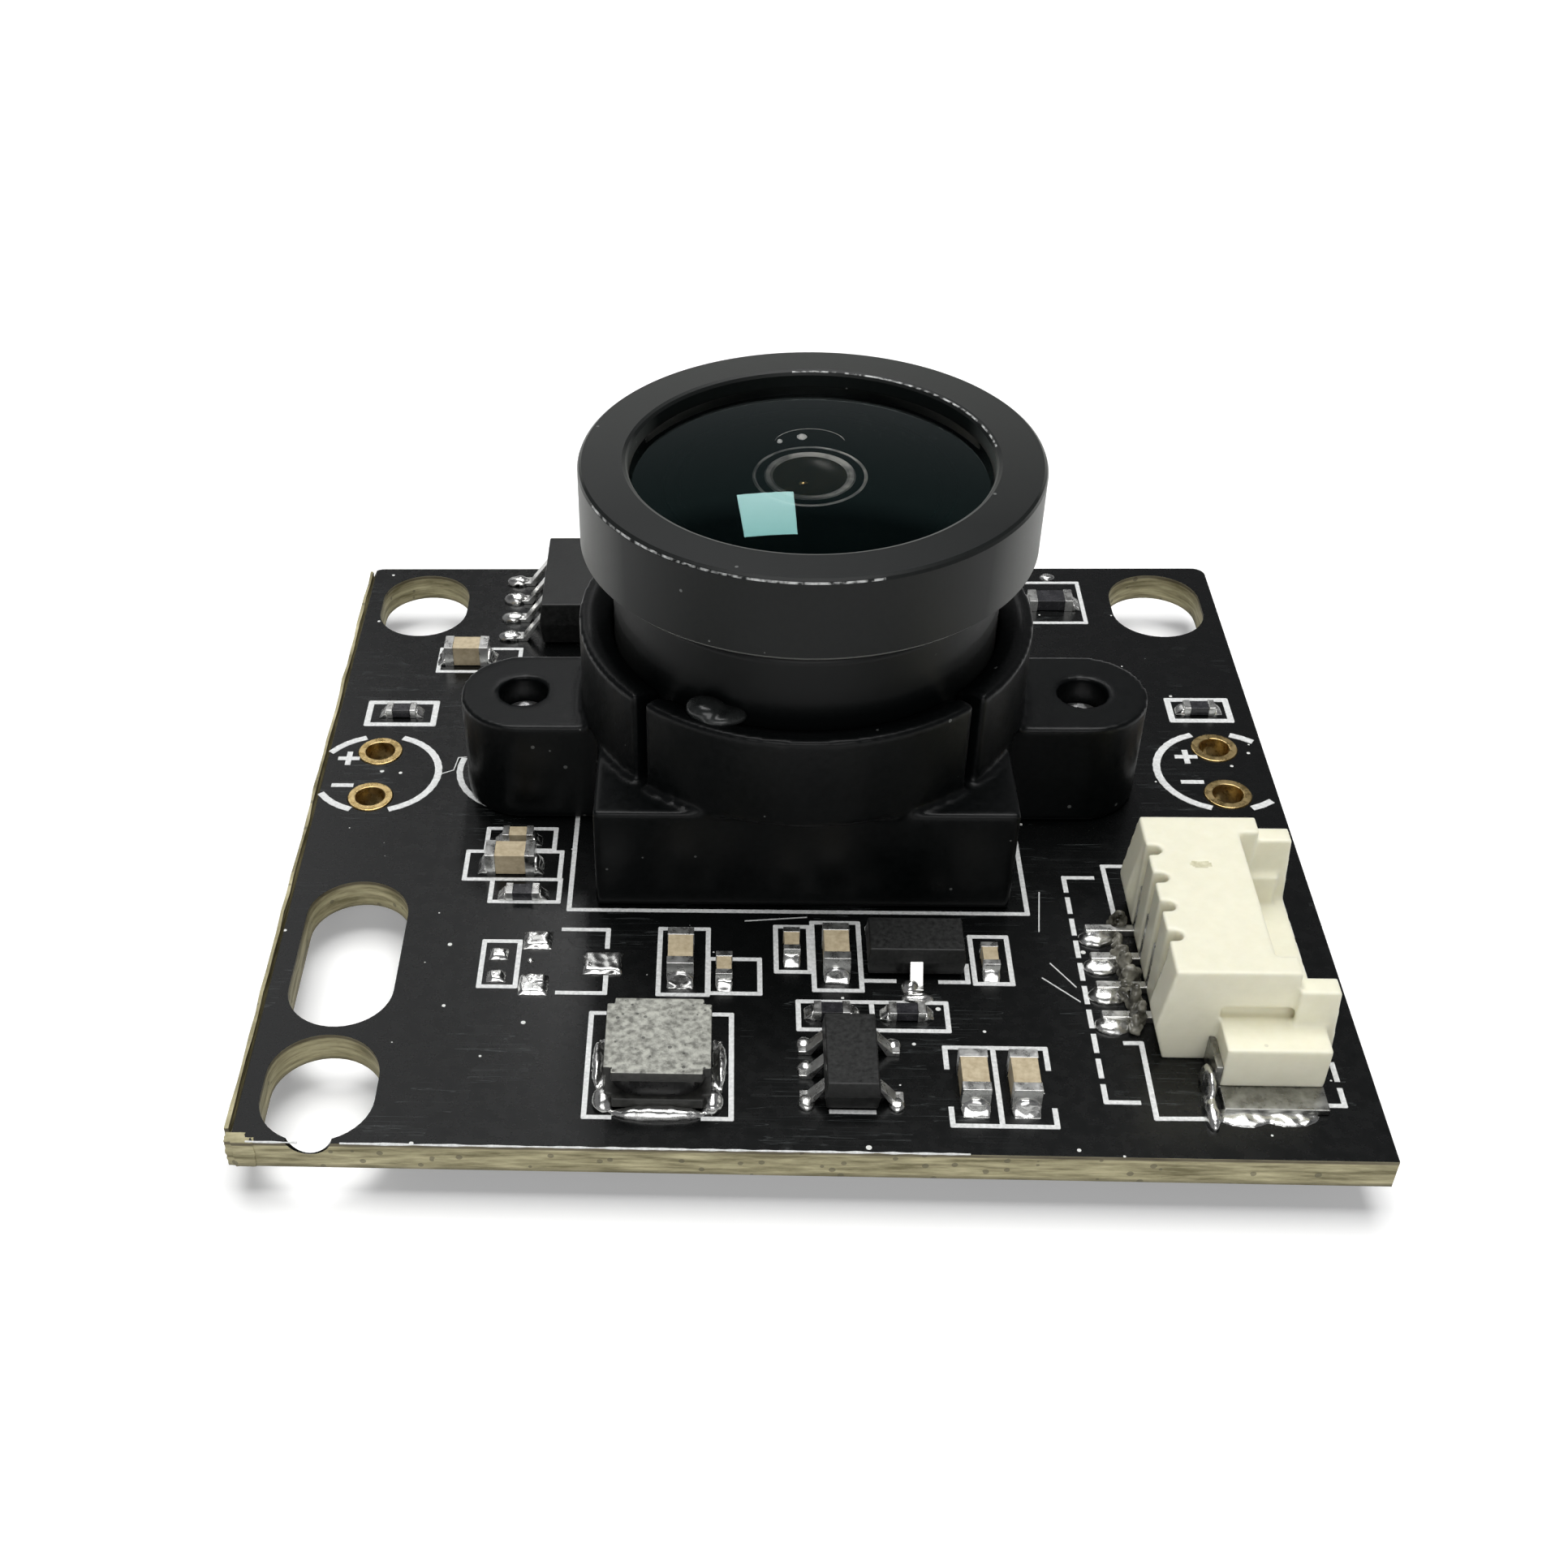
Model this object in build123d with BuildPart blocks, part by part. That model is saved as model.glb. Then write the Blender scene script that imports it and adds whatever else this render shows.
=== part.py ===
from build123d import *
import os
from math import cos, radians, sin

# Board-level camera module: a small circuit board with a fixed wide-angle lens in a screwed-on
# holder, a four-way side-entry connector and surface-mount parts on both faces. Millimetres, +Z up
# along the lens axis. The origin is the middle of the board's outline, in the plane that the
# parts below the board stand on.

os.makedirs("parts", exist_ok=True)

# Board
board_length = 32.0
board_width = 30.0
board_thickness = 1.0
board_corner_radius = 0.45
underside_height = 1.2  # height of the tallest parts below the board
score_depth = 0.28  # groove left along the snapped left edge
score_inset = 0.16
seat_clearance = 0.02  # gap round parts that sit in the board's holes

board_bottom = underside_height
board_top = board_bottom + board_thickness
left_edge = -board_length / 2
right_edge = board_length / 2
front_edge = -board_width / 2
back_edge = board_width / 2
cut_margin = 1.0  # how far a cutting tool runs past the stock

# Mounting holes, obround along Y, and the long slot
hole_width = 3.3
hole_length = 4.2
left_hole_inset = 2.36
right_hole_inset = 2.18
back_hole_inset = 2.6
front_hole_inset = 2.15
breakout_width = 1.3  # where the front hole has broken out of the board's front edge
breakout_depth = 0.45
slot_width = 3.2
slot_travel = 3.38
slot_middle = 7.88  # from the board's front edge
corner_nick = 0.3

# Places for two light-emitting diodes that are not fitted
eyelet_pitch = 2.54
eyelet_bore_radius = 0.5
eyelet_radius = 0.76
eyelet_stand = 0.04  # how far the plated rim stands off the board's faces
left_eyelet_inset = 1.92
right_eyelet_inset = 1.62
left_eyelet_middle = 1.82
right_eyelet_middle = 2.24

# Lens holder
lens_x = 0.25
lens_y = 1.5
neck_radius = 7.05
neck_wall = 1.05
neck_overhang = 0.65  # how far the round neck bulges past the block's flat sides
block_height = 3.7
block_corner_radius = 0.25
holder_height = 6.84
bore_flare = 0.34
bore_flare_depth = 0.6
slit_width = 0.42
slit_count = 4
ear_width = 4.1
ear_corner_radius = 0.5
ear_reach = 2.6  # from the block's side to the screw
ear_hole_radius = 0.8
cavity_wall = 1.1
cavity_height = 1.5
shelf_thickness = 0.6

# Holder screws, driven from below
screw_thread_radius = 0.76
screw_head_radius = 1.7
screw_hole_radius = 1.0
screw_tip_length = 0.5
screw_tip_below_top = 0.45
drive_slot_width = 0.4
drive_slot_length = 1.9
drive_slot_depth = 0.5

# Image sensor and infrared-cut filter
sensor_length = 7.6
sensor_width = 7.2
sensor_thickness = 0.7
cover_glass_side = 6.4
cover_glass_thickness = 0.4
filter_clearance = 0.48  # between the square filter's corners and the round bore, across the filter
filter_ledge = 0.3
filter_thickness = 0.3

# Lens barrel and optics
thread_clearance = 0.05
barrel_gap = 0.5  # from the filter to the barrel's rear end
head_inset = 0.15  # how much smaller the head is than the neck
head_height = 2.65
head_rise = 9.48  # underside of the head above the board
mouth_wall = 1.48
glass_fit = 0.06  # radial play of the glass in its seat
rim_recess = 0.5
front_edge_thickness = 1.03
front_dome = 0.45
upper_ledge = 1.12
upper_spacer_thickness = 0.5
second_edge_thickness = 0.9
second_dome = 0.35
web_thickness = 1.1
web_ledge = 1.7
lower_wall = 2.45
stop_thickness = 0.1
stop_radius = 0.95
rear_edge_thickness = 1.4
lens_land = 0.6  # flat rim left round a curved face

# Glue that locks the barrel
glue_angle = -116.0
glue_arc = 17.0
glue_rise = 1.0
glue_spread = 0.5

# Connector, mouth towards +X
ways = 4
pitch = 1.25
connector_from_front = 7.18
connector_to_edge = 2.4  # from the end of the top plate's side walls to the board's edge
connector_depth = 3.4
connector_height = 3.35
side_allowance = 1.55  # from an outer contact's middle to the housing's side
side_wall = 0.75
floor_wall = 0.5
roof_wall = 0.6
rear_wall = 0.8
roof_setback = 0.6
lobe_length = 1.1
lobe_toe = 0.22
lobe_height = 2.8
lobe_overhang = 0.18
lobe_thickness = 0.65
anchor_length = 2.85
anchor_width = 1.25
anchor_height = 1.6
anchor_slot_depth = 0.3
anchor_slot_height = 0.45
anchor_back = 1.45  # from the housing's rear face to the anchor block
contact_width = 0.3
contact_thickness = 0.25
contact_height = 1.55
contact_reach = 2.3
contact_tail = 1.4
contact_fit = 0.06
contact_slot_depth = 0.42
rear_bulge = 0.28  # the housing's ends swell to the rear above the board
rear_bulge_height = 1.2
rear_foot_inset = 0.1
rear_end_width = 1.1
tab_thickness = 0.2
tab_reach = 0.85
tab_leg_height = 0.95

# Small parts: length, width, height and metal end of each chip size
size_0603 = (1.6, 0.8, 0.8, 0.32)
size_0402 = (1.0, 0.5, 0.5, 0.22)
resistor_0603 = (1.6, 0.8, 0.45, 0.3)
resistor_0402 = (1.05, 0.5, 0.35, 0.22)
end_wrap = 0.025  # how far the metal ends stand proud of the body
fillet_length = 0.32  # the solder at a chip's ends: toe on the pad, and height
fillet_rise = 0.3

# Leaded chips
mould_draft = 7.0
lead_thickness = 0.15
ankle_share = 0.45  # where a lead reaches the board, along its way out
memory_length = 4.9
memory_width = 3.9
memory_height = 1.75
memory_span = 6.2
memory_pitch = 1.27
memory_lead_width = 0.42
memory_clearance = 2.2  # from the holder's block to the chip's leads
memory_x = -7.05
small_chip_length = 2.9
small_chip_width = 1.55
small_chip_height = 1.1
small_chip_span = 2.9
small_chip_pitch = 0.95
small_lead_width = 0.4
converter_x = 1.45
front_row_clearance = 7.17  # from the holder's block to the middle of the front row
regulator_x = 3.56
regulator_clearance = 2.35
chip_standoff = 0.1

# Power inductor
inductor_side = 3.0
inductor_height = 1.5
inductor_x = -3.97
flange_thickness = 0.35
flange_notch = 0.22
post_radius = 0.8
coil_inset = 0.14
coil_corner_radius = 0.9
terminal_thickness = 0.1
terminal_width = 0.9

# Underside
controller_side = 9.0
controller_base_thickness = 0.36
controller_cover_inset = 0.3
controller_x = 0.5
controller_clearance = 0.4
crystal_length = 5.0
crystal_width = 3.2
crystal_x = 0.5
crystal_clearance = 0.3
crystal_cover_inset = 0.3
crystal_base_thickness = 0.5

# Lens holder: its block, neck and bore are worked out from the neck's radius
block_side = 2 * (neck_radius - neck_overhang)
bore_radius = neck_radius - neck_wall
screw_pitch = block_side + 2 * ear_reach
cavity_side = block_side - 2 * cavity_wall
filter_side = 2 * bore_radius * sin(radians(45)) - filter_clearance
shelf_window = filter_side - 2 * filter_ledge
ear_front = lens_y - ear_width / 2
block_left = lens_x - block_side / 2
block_right = lens_x + block_side / 2
block_front = lens_y - block_side / 2
block_back = lens_y + block_side / 2

# Circuit board: obround holes, slot, screw and eyelet holes, snapped left edge
left_holes_x = left_edge + left_hole_inset
right_holes_x = right_edge - right_hole_inset
back_holes_y = back_edge - back_hole_inset
front_holes_y = front_edge + front_hole_inset
screw_places = [(lens_x - screw_pitch / 2, lens_y), (lens_x + screw_pitch / 2, lens_y)]
eyelet_places = [
    (x, middle + side * eyelet_pitch / 2)
    for x, middle in (
        (left_edge + left_eyelet_inset, left_eyelet_middle),
        (right_edge - right_eyelet_inset, right_eyelet_middle),
    )
    for side in (-1, 1)
]
breakout_radius = (breakout_width**2 / 4 + breakout_depth**2) / (2 * breakout_depth)

with BuildPart() as circuit_board:
    with BuildSketch(Plane.XY.offset(board_bottom)) as outline:
        Rectangle(board_length, board_width)
        fillet(outline.vertices().group_by(Axis.Y)[-1], radius=board_corner_radius)
        with Locations(
            (left_holes_x, back_holes_y),
            (right_holes_x, back_holes_y),
            (left_holes_x, front_holes_y),
        ):
            SlotOverall(hole_length, hole_width, rotation=90, mode=Mode.SUBTRACT)
        with Locations((left_holes_x, front_edge + slot_middle)):
            SlotCenterToCenter(slot_travel, slot_width, rotation=90, mode=Mode.SUBTRACT)
        with Locations(screw_places):
            Circle(screw_hole_radius, mode=Mode.SUBTRACT)
        with Locations(eyelet_places):
            Circle(eyelet_radius + seat_clearance, mode=Mode.SUBTRACT)
        with Locations((left_edge, front_edge)):
            Rectangle(corner_nick, corner_nick, rotation=35, mode=Mode.SUBTRACT)
    extrude(amount=board_thickness)
    # The groove of the panel's score line, on both faces of the snapped edge
    with BuildSketch(Plane.XZ):
        for face, inward in ((board_top, -1), (board_bottom, 1)):
            with BuildLine():
                Polyline(
                    (left_edge, face),
                    (left_edge + score_inset, face),
                    (left_edge, face + inward * score_depth),
                    close=True,
                )
            make_face()
    extrude(amount=board_width, both=True, mode=Mode.SUBTRACT)
    # The front hole's end has broken out through the top of the front edge
    with BuildSketch(Plane.XZ.offset(-front_edge - front_hole_inset + hole_length / 4)):
        with Locations((left_holes_x, board_top + breakout_radius - breakout_depth)):
            Circle(breakout_radius)
    extrude(amount=front_hole_inset, mode=Mode.SUBTRACT)

circuit_board.part.label = "circuit_board"
export_step(circuit_board.part, "parts/circuit_board.step")

# Plated eyelets, through the board and a little proud of both faces
with BuildPart() as led_eyelets:
    with BuildSketch(Plane.XY.offset(board_bottom - eyelet_stand)):
        with Locations(eyelet_places):
            Circle(eyelet_radius)
            Circle(eyelet_bore_radius, mode=Mode.SUBTRACT)
    extrude(amount=board_thickness + 2 * eyelet_stand)

led_eyelets.part.label = "led_eyelets"
export_step(led_eyelets.part, "parts/led_eyelets.step")

# Lens holder: hollow square base with two ears, and a slit neck that grips the lens thread
holder_plane = Plane((lens_x, lens_y, board_top))
shelf_top = cavity_height + shelf_thickness

with BuildPart() as lens_holder:
    with BuildSketch(holder_plane) as footprint:
        Rectangle(block_side, block_side)
        SlotCenterToCenter(screw_pitch, ear_width)
        inner_corners = footprint.vertices().filter_by(
            lambda v: abs(abs(v.Y - lens_y) - ear_width / 2) < ear_corner_radius / 2
            and abs(abs(v.X - lens_x) - block_side / 2) < ear_corner_radius / 2
        )
        fillet(inner_corners, radius=ear_corner_radius)
        outer_corners = footprint.vertices().filter_by(
            lambda v: abs(abs(v.Y - lens_y) - block_side / 2) < block_corner_radius
        )
        fillet(outer_corners, radius=block_corner_radius)
    extrude(amount=block_height)
    with BuildSketch(holder_plane.offset(block_height)):
        Circle(neck_radius)
    extrude(amount=holder_height - block_height)
    with BuildSketch(holder_plane):
        Rectangle(cavity_side, cavity_side)
    extrude(amount=cavity_height, mode=Mode.SUBTRACT)
    with BuildSketch(holder_plane):
        Rectangle(shelf_window, shelf_window)
    extrude(amount=shelf_top, mode=Mode.SUBTRACT)
    with BuildSketch(holder_plane.offset(shelf_top)):
        Circle(bore_radius)
    extrude(amount=holder_height - shelf_top, mode=Mode.SUBTRACT)
    chamfer(
        lens_holder.edges().filter_by(GeomType.CIRCLE).group_by(Axis.Z)[-1].sort_by(SortBy.RADIUS)[0],
        length=bore_flare_depth,
        length2=bore_flare,
    )
    with BuildSketch(holder_plane.offset(block_height)):
        with PolarLocations((bore_radius + neck_radius) / 2, slit_count, start_angle=45):
            Rectangle(neck_radius - bore_radius + cut_margin, slit_width)
    extrude(amount=holder_height, mode=Mode.SUBTRACT)
    with BuildSketch(holder_plane):
        with GridLocations(screw_pitch, 1, 2, 1):
            Circle(ear_hole_radius)
    extrude(amount=block_height, mode=Mode.SUBTRACT)

lens_holder.part.label = "lens_holder"
export_step(lens_holder.part, "parts/lens_holder.step")

# Two self-tapping screws: head below the board, pointed end in the ear
screw_top = board_top + block_height - screw_tip_below_top
with BuildPart() as holder_screws:
    for x, y in screw_places:
        with BuildSketch(Plane((x, y, 0), x_dir=(1, 0, 0), z_dir=(0, -1, 0))):
            with BuildLine():
                Polyline(
                    (0, 0),
                    (screw_head_radius, 0),
                    (screw_head_radius, board_bottom),
                    (screw_thread_radius, board_bottom),
                    (screw_thread_radius, screw_top - screw_tip_length),
                    (0, screw_top),
                    close=True,
                )
            make_face()
        revolve(axis=Axis((x, y, 0), (0, 0, 1)))
    with BuildSketch(Plane.XY):
        with Locations(screw_places):
            Rectangle(drive_slot_length, drive_slot_width)
            Rectangle(drive_slot_width, drive_slot_length)
    extrude(amount=drive_slot_depth, mode=Mode.SUBTRACT)

holder_screws.part.label = "holder_screws"
export_step(holder_screws.part, "parts/holder_screws.step")

# Image sensor, its cover glass and the infrared-cut filter
with BuildPart() as image_sensor:
    with BuildSketch(holder_plane):
        Rectangle(sensor_length, sensor_width)
    extrude(amount=sensor_thickness)

image_sensor.part.label = "image_sensor"
export_step(image_sensor.part, "parts/image_sensor.step")

with BuildPart() as sensor_cover_glass:
    with BuildSketch(holder_plane.offset(sensor_thickness)):
        Rectangle(cover_glass_side, cover_glass_side)
    extrude(amount=cover_glass_thickness)

sensor_cover_glass.part.label = "sensor_cover_glass"
export_step(sensor_cover_glass.part, "parts/sensor_cover_glass.step")

with BuildPart() as ir_cut_filter:
    with BuildSketch(holder_plane.offset(shelf_top)):
        Rectangle(filter_side, filter_side)
    extrude(amount=filter_thickness)

ir_cut_filter.part.label = "ir_cut_filter"
export_step(ir_cut_filter.part, "parts/ir_cut_filter.step")

# Lens: heights of the seats, from the mouth down
lens_axis = Axis((lens_x, lens_y, 0), (0, 0, 1))
lens_section = Plane((lens_x, lens_y, 0), x_dir=(1, 0, 0), z_dir=(0, -1, 0))
barrel_radius = bore_radius - thread_clearance
head_radius = neck_radius - head_inset
mouth_radius = head_radius - mouth_wall
upper_bore_radius = mouth_radius - upper_ledge
web_bore_radius = upper_bore_radius - web_ledge
lower_bore_radius = barrel_radius - lower_wall
barrel_bottom = board_top + shelf_top + filter_thickness + barrel_gap
head_bottom = board_top + head_rise
head_top = head_bottom + head_height
front_rim = head_top - rim_recess
front_seat = front_rim - front_edge_thickness
second_rim = front_seat - upper_spacer_thickness
second_seat = second_rim - second_edge_thickness
web_bottom = second_seat - web_thickness
rear_rim = web_bottom - stop_thickness
rear_foot = rear_rim - rear_edge_thickness

with BuildPart() as lens_barrel:
    with BuildSketch(lens_section):
        with BuildLine():
            Polyline(
                (barrel_radius, barrel_bottom),
                (barrel_radius, head_bottom),
                (head_radius, head_bottom),
                (head_radius, head_top),
                (mouth_radius, head_top),
                (mouth_radius, front_seat),
                (upper_bore_radius, front_seat),
                (upper_bore_radius, second_seat),
                (web_bore_radius, second_seat),
                (web_bore_radius, web_bottom),
                (lower_bore_radius, web_bottom),
                (lower_bore_radius, barrel_bottom),
                close=True,
            )
        make_face()
    revolve(axis=lens_axis)

lens_barrel.part.label = "lens_barrel"
export_step(lens_barrel.part, "parts/lens_barrel.step")


# A lens element turned about the lens axis: a domed front and a flat rear
def turn_element(radius, rim, foot, dome, land):
    with BuildPart() as element:
        with BuildSketch(lens_section):
            with BuildLine():
                TangentArc((0, rim + dome), (radius - land, rim), tangent=(1, 0))
                if land > 0:
                    Line((radius - land, rim), (radius, rim))
                Polyline((radius, rim), (radius, foot), (0, foot), (0, rim + dome))
            make_face()
        revolve(axis=lens_axis)
    return element


front_element = turn_element(mouth_radius - glass_fit, front_rim, front_seat, front_dome, 0)
front_element.part.label = "front_element"
export_step(front_element.part, "parts/front_element.step")

second_element = turn_element(
    upper_bore_radius - glass_fit, second_rim, second_seat, second_dome, lens_land
)
second_element.part.label = "second_element"
export_step(second_element.part, "parts/second_element.step")

rear_radius = lower_bore_radius - glass_fit
with BuildPart() as rear_element:
    with BuildSketch(Plane((lens_x, lens_y, rear_foot))):
        Circle(rear_radius)
    extrude(amount=rear_edge_thickness)

rear_element.part.label = "rear_element"
export_step(rear_element.part, "parts/rear_element.step")

# Spacer ring between the front and the second element
with BuildPart() as element_spacer:
    with BuildSketch(Plane((lens_x, lens_y, second_rim))):
        Circle(upper_bore_radius - glass_fit)
        Circle(upper_bore_radius - glass_fit - lens_land, mode=Mode.SUBTRACT)
    extrude(amount=upper_spacer_thickness)

element_spacer.part.label = "element_spacer"
export_step(element_spacer.part, "parts/element_spacer.step")

# Thin disc with the light's opening, between the web and the rear element
with BuildPart() as aperture_stop:
    with BuildSketch(Plane((lens_x, lens_y, rear_rim))):
        Circle(rear_radius)
        Circle(stop_radius, mode=Mode.SUBTRACT)
    extrude(amount=stop_thickness)

aperture_stop.part.label = "aperture_stop"
export_step(aperture_stop.part, "parts/aperture_stop.step")

# A drop of glue in the corner between the barrel and the top of the holder's neck
holder_top = board_top + holder_height
glue_direction = (cos(radians(glue_angle - glue_arc / 2)), sin(radians(glue_angle - glue_arc / 2)), 0)
glue_normal = (glue_direction[1], -glue_direction[0], 0)
with BuildPart() as adhesive_drop:
    with BuildSketch(Plane((lens_x, lens_y, 0), x_dir=glue_direction, z_dir=glue_normal)):
        with BuildLine():
            Polyline(
                (barrel_radius, holder_top - bore_flare_depth / 2),
                (bore_radius + bore_flare / 2, holder_top - bore_flare_depth / 2),
                (bore_radius + bore_flare, holder_top),
                (bore_radius + bore_flare + glue_spread, holder_top),
            )
            TangentArc(
                (bore_radius + bore_flare + glue_spread, holder_top),
                (barrel_radius, holder_top + glue_rise),
                tangent=(-1, 0.5),
            )
            Line((barrel_radius, holder_top + glue_rise), (barrel_radius, holder_top - bore_flare_depth / 2))
        make_face()
    revolve(axis=lens_axis, revolution_arc=glue_arc)

adhesive_drop.part.label = "adhesive_drop"
export_step(adhesive_drop.part, "parts/adhesive_drop.step")

# Connector housing: box with a mouth towards +X, contact slots behind, lobes and anchor blocks
housing_width = (ways - 1) * pitch + 2 * side_allowance
housing_rear = right_edge - connector_to_edge - connector_depth
housing_y = front_edge + connector_from_front
housing_plane = Plane((housing_rear, housing_y, board_top))
mouth_width = housing_width - 2 * side_wall
mouth_height = connector_height - floor_wall - roof_wall
contact_places = [(step - (ways - 1) / 2) * pitch for step in range(ways)]
low_corner = (Align.MIN, Align.CENTER, Align.MIN)
slot_span = contact_width + 2 * contact_fit

with BuildPart(housing_plane) as connector_housing:
    # Body outline from the side: the ends swell to the rear, and the foot steps back in
    with BuildSketch(housing_plane * Plane.XZ):
        with BuildLine():
            Polyline(
                (0, connector_height),
                (-rear_bulge, rear_bulge_height),
                (rear_foot_inset, 0),
                (connector_depth, 0),
                (connector_depth, connector_height),
                close=True,
            )
        make_face()
    extrude(amount=housing_width / 2, both=True)
    # Side walls and floor that run on past the roof, with a sloping toe
    with BuildSketch(housing_plane * Plane.XZ):
        with BuildLine():
            Polyline(
                (connector_depth, 0),
                (connector_depth + lobe_length + lobe_toe, 0),
                (connector_depth + lobe_length, lobe_height),
                (connector_depth, lobe_height),
                close=True,
            )
        make_face()
    extrude(amount=housing_width / 2 + lobe_overhang, both=True)
    with Locations((connector_depth, 0, floor_wall)):
        Box(
            2 * lobe_length,
            housing_width + 2 * lobe_overhang - 2 * lobe_thickness,
            connector_height,
            align=low_corner,
            mode=Mode.SUBTRACT,
        )
    with Locations((anchor_back, 0, 0)):
        Box(anchor_length, housing_width + 2 * anchor_width, anchor_height, align=low_corner)
    # The rear face is upright between its two ends
    with Locations((-2 * rear_bulge, 0, 0)):
        Box(
            2 * rear_bulge,
            housing_width - 2 * rear_end_width,
            connector_height,
            align=low_corner,
            mode=Mode.SUBTRACT,
        )
    # Mouth, with the roof cut back between the side walls
    with Locations((rear_wall, 0, floor_wall)):
        Box(
            connector_depth + lobe_length,
            mouth_width,
            mouth_height,
            align=low_corner,
            mode=Mode.SUBTRACT,
        )
    with Locations((connector_depth - roof_setback, 0, floor_wall)):
        Box(roof_setback, mouth_width, connector_height, align=low_corner, mode=Mode.SUBTRACT)
    # Recess over each anchor block, in the housing's side
    for side in (-1, 1):
        with Locations((anchor_back, side * (housing_width - anchor_slot_depth) / 2, anchor_height)):
            Box(
                anchor_length,
                anchor_slot_depth,
                anchor_slot_height,
                align=low_corner,
                mode=Mode.SUBTRACT,
            )
        with Locations((anchor_back, side * (housing_width + anchor_width) / 2, 0)):
            Box(anchor_length, anchor_width, tab_thickness, align=low_corner, mode=Mode.SUBTRACT)
    # Round-ended slots that the contacts are pushed into from behind, and holes into the mouth
    with BuildSketch(housing_plane):
        with Locations([(0, place) for place in contact_places]):
            SlotOverall(2 * contact_slot_depth, slot_span)
    extrude(amount=connector_height, mode=Mode.SUBTRACT)
    for place in contact_places:
        with Locations((0, place, contact_height - contact_fit)):
            Box(
                rear_wall,
                slot_span,
                contact_thickness + 2 * contact_fit,
                align=low_corner,
                mode=Mode.SUBTRACT,
            )

connector_housing.part.label = "connector_housing"
export_step(connector_housing.part, "parts/connector_housing.step")

# Contacts: pin in the mouth, leg down the rear slot, tail on the board
with BuildPart() as connector_contacts:
    for place in contact_places:
        with BuildSketch(Plane((housing_rear, housing_y + place, board_top)) * Plane.XZ):
            with BuildLine():
                Polyline(
                    (-contact_tail, 0),
                    (contact_fit + contact_thickness, 0),
                    (contact_fit + contact_thickness, contact_height),
                    (rear_wall + contact_reach, contact_height),
                    (rear_wall + contact_reach, contact_height + contact_thickness),
                    (contact_fit, contact_height + contact_thickness),
                    (contact_fit, contact_thickness),
                    (-contact_tail, contact_thickness),
                    close=True,
                )
            make_face()
        extrude(amount=contact_width / 2, both=True)

connector_contacts.part.label = "connector_contacts"
export_step(connector_contacts.part, "parts/connector_contacts.step")

# Metal tabs under the anchor blocks, soldered to the board, each with a leg up the block's side
with BuildPart(housing_plane) as connector_anchor_tabs:
    for side in (-1, 1):
        with Locations((anchor_back, side * (housing_width + anchor_width + tab_reach) / 2, 0)):
            Box(anchor_length, anchor_width + tab_reach, tab_thickness, align=low_corner)
        with Locations((anchor_back - tab_thickness, side * (housing_width + anchor_width) / 2, 0)):
            Box(tab_thickness, anchor_width, tab_leg_height, align=low_corner)

connector_anchor_tabs.part.label = "connector_anchor_tabs"
export_step(connector_anchor_tabs.part, "parts/connector_anchor_tabs.step")


# A moulded chip body with drafted sides above and below its parting line
def mould_body(plane, length, width, height):
    parting = (height + chip_standoff) / 2
    with BuildPart() as body:
        with BuildSketch(plane.offset(parting)):
            Rectangle(length, width)
        extrude(amount=height - parting, taper=mould_draft)
        with BuildSketch(plane.offset(parting)):
            Rectangle(length, width)
        extrude(amount=-(parting - chip_standoff), taper=mould_draft)
    return body


# Gull-wing leads: one is bent, then set at each spot along the sides that the angles point to
def bend_leads(plane, places, body_half, reach, exit_height, width):
    ankle = body_half + (reach - body_half) * ankle_share
    with BuildPart() as lead:
        with BuildSketch(Plane.XZ):
            with BuildLine():
                Polyline(
                    (body_half, exit_height + lead_thickness / 2),
                    (ankle + lead_thickness, lead_thickness),
                    (reach, lead_thickness),
                    (reach, 0),
                    (ankle, 0),
                    (body_half, exit_height - lead_thickness / 2),
                    close=True,
                )
            make_face()
        extrude(amount=width / 2, both=True)
    with BuildPart() as leads:
        with Locations(*[plane.location * Rotation(0, 0, angle) * Pos(0, spot) for spot, angle in places]):
            add(lead.part)
    return leads


def row(count, step):
    return [(index - (count - 1) / 2) * step for index in range(count)]


# Memory chip behind the lens, leads to the left and right
memory_y = block_back + memory_clearance + memory_width / 2
memory_plane = Plane((memory_x, memory_y, board_top))
memory_chip = mould_body(memory_plane, memory_width, memory_length, memory_height)
memory_chip.part.label = "memory_chip"
export_step(memory_chip.part, "parts/memory_chip.step")

memory_places = [(spot, angle) for spot in row(4, memory_pitch) for angle in (0, 180)]
memory_chip_leads = bend_leads(
    memory_plane,
    memory_places,
    memory_width / 2,
    memory_span / 2,
    (memory_height + chip_standoff) / 2,
    memory_lead_width,
)
memory_chip_leads.part.label = "memory_chip_leads"
export_step(memory_chip_leads.part, "parts/memory_chip_leads.step")

# Five-lead converter in the front row: three leads to the left, two to the right
front_row_y = block_front - front_row_clearance
converter_plane = Plane((converter_x, front_row_y, board_top))
converter_chip = mould_body(converter_plane, small_chip_width, small_chip_length, small_chip_height)
converter_chip.part.label = "converter_chip"
export_step(converter_chip.part, "parts/converter_chip.step")

small_exit = (small_chip_height + chip_standoff) / 2
converter_places = [(spot, 180) for spot in row(3, small_chip_pitch)]
converter_places += [(spot, 0) for spot in row(2, 2 * small_chip_pitch)]
converter_leads = bend_leads(
    converter_plane,
    converter_places,
    small_chip_width / 2,
    small_chip_span / 2,
    small_exit,
    small_lead_width,
)
converter_leads.part.label = "converter_leads"
export_step(converter_leads.part, "parts/converter_leads.step")

# Three-lead regulator: one lead to the front, two behind
regulator_plane = Plane((regulator_x, block_front - regulator_clearance, board_top))
regulator_chip = mould_body(regulator_plane, small_chip_length, small_chip_width, small_chip_height)
regulator_chip.part.label = "regulator_chip"
export_step(regulator_chip.part, "parts/regulator_chip.step")

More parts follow.
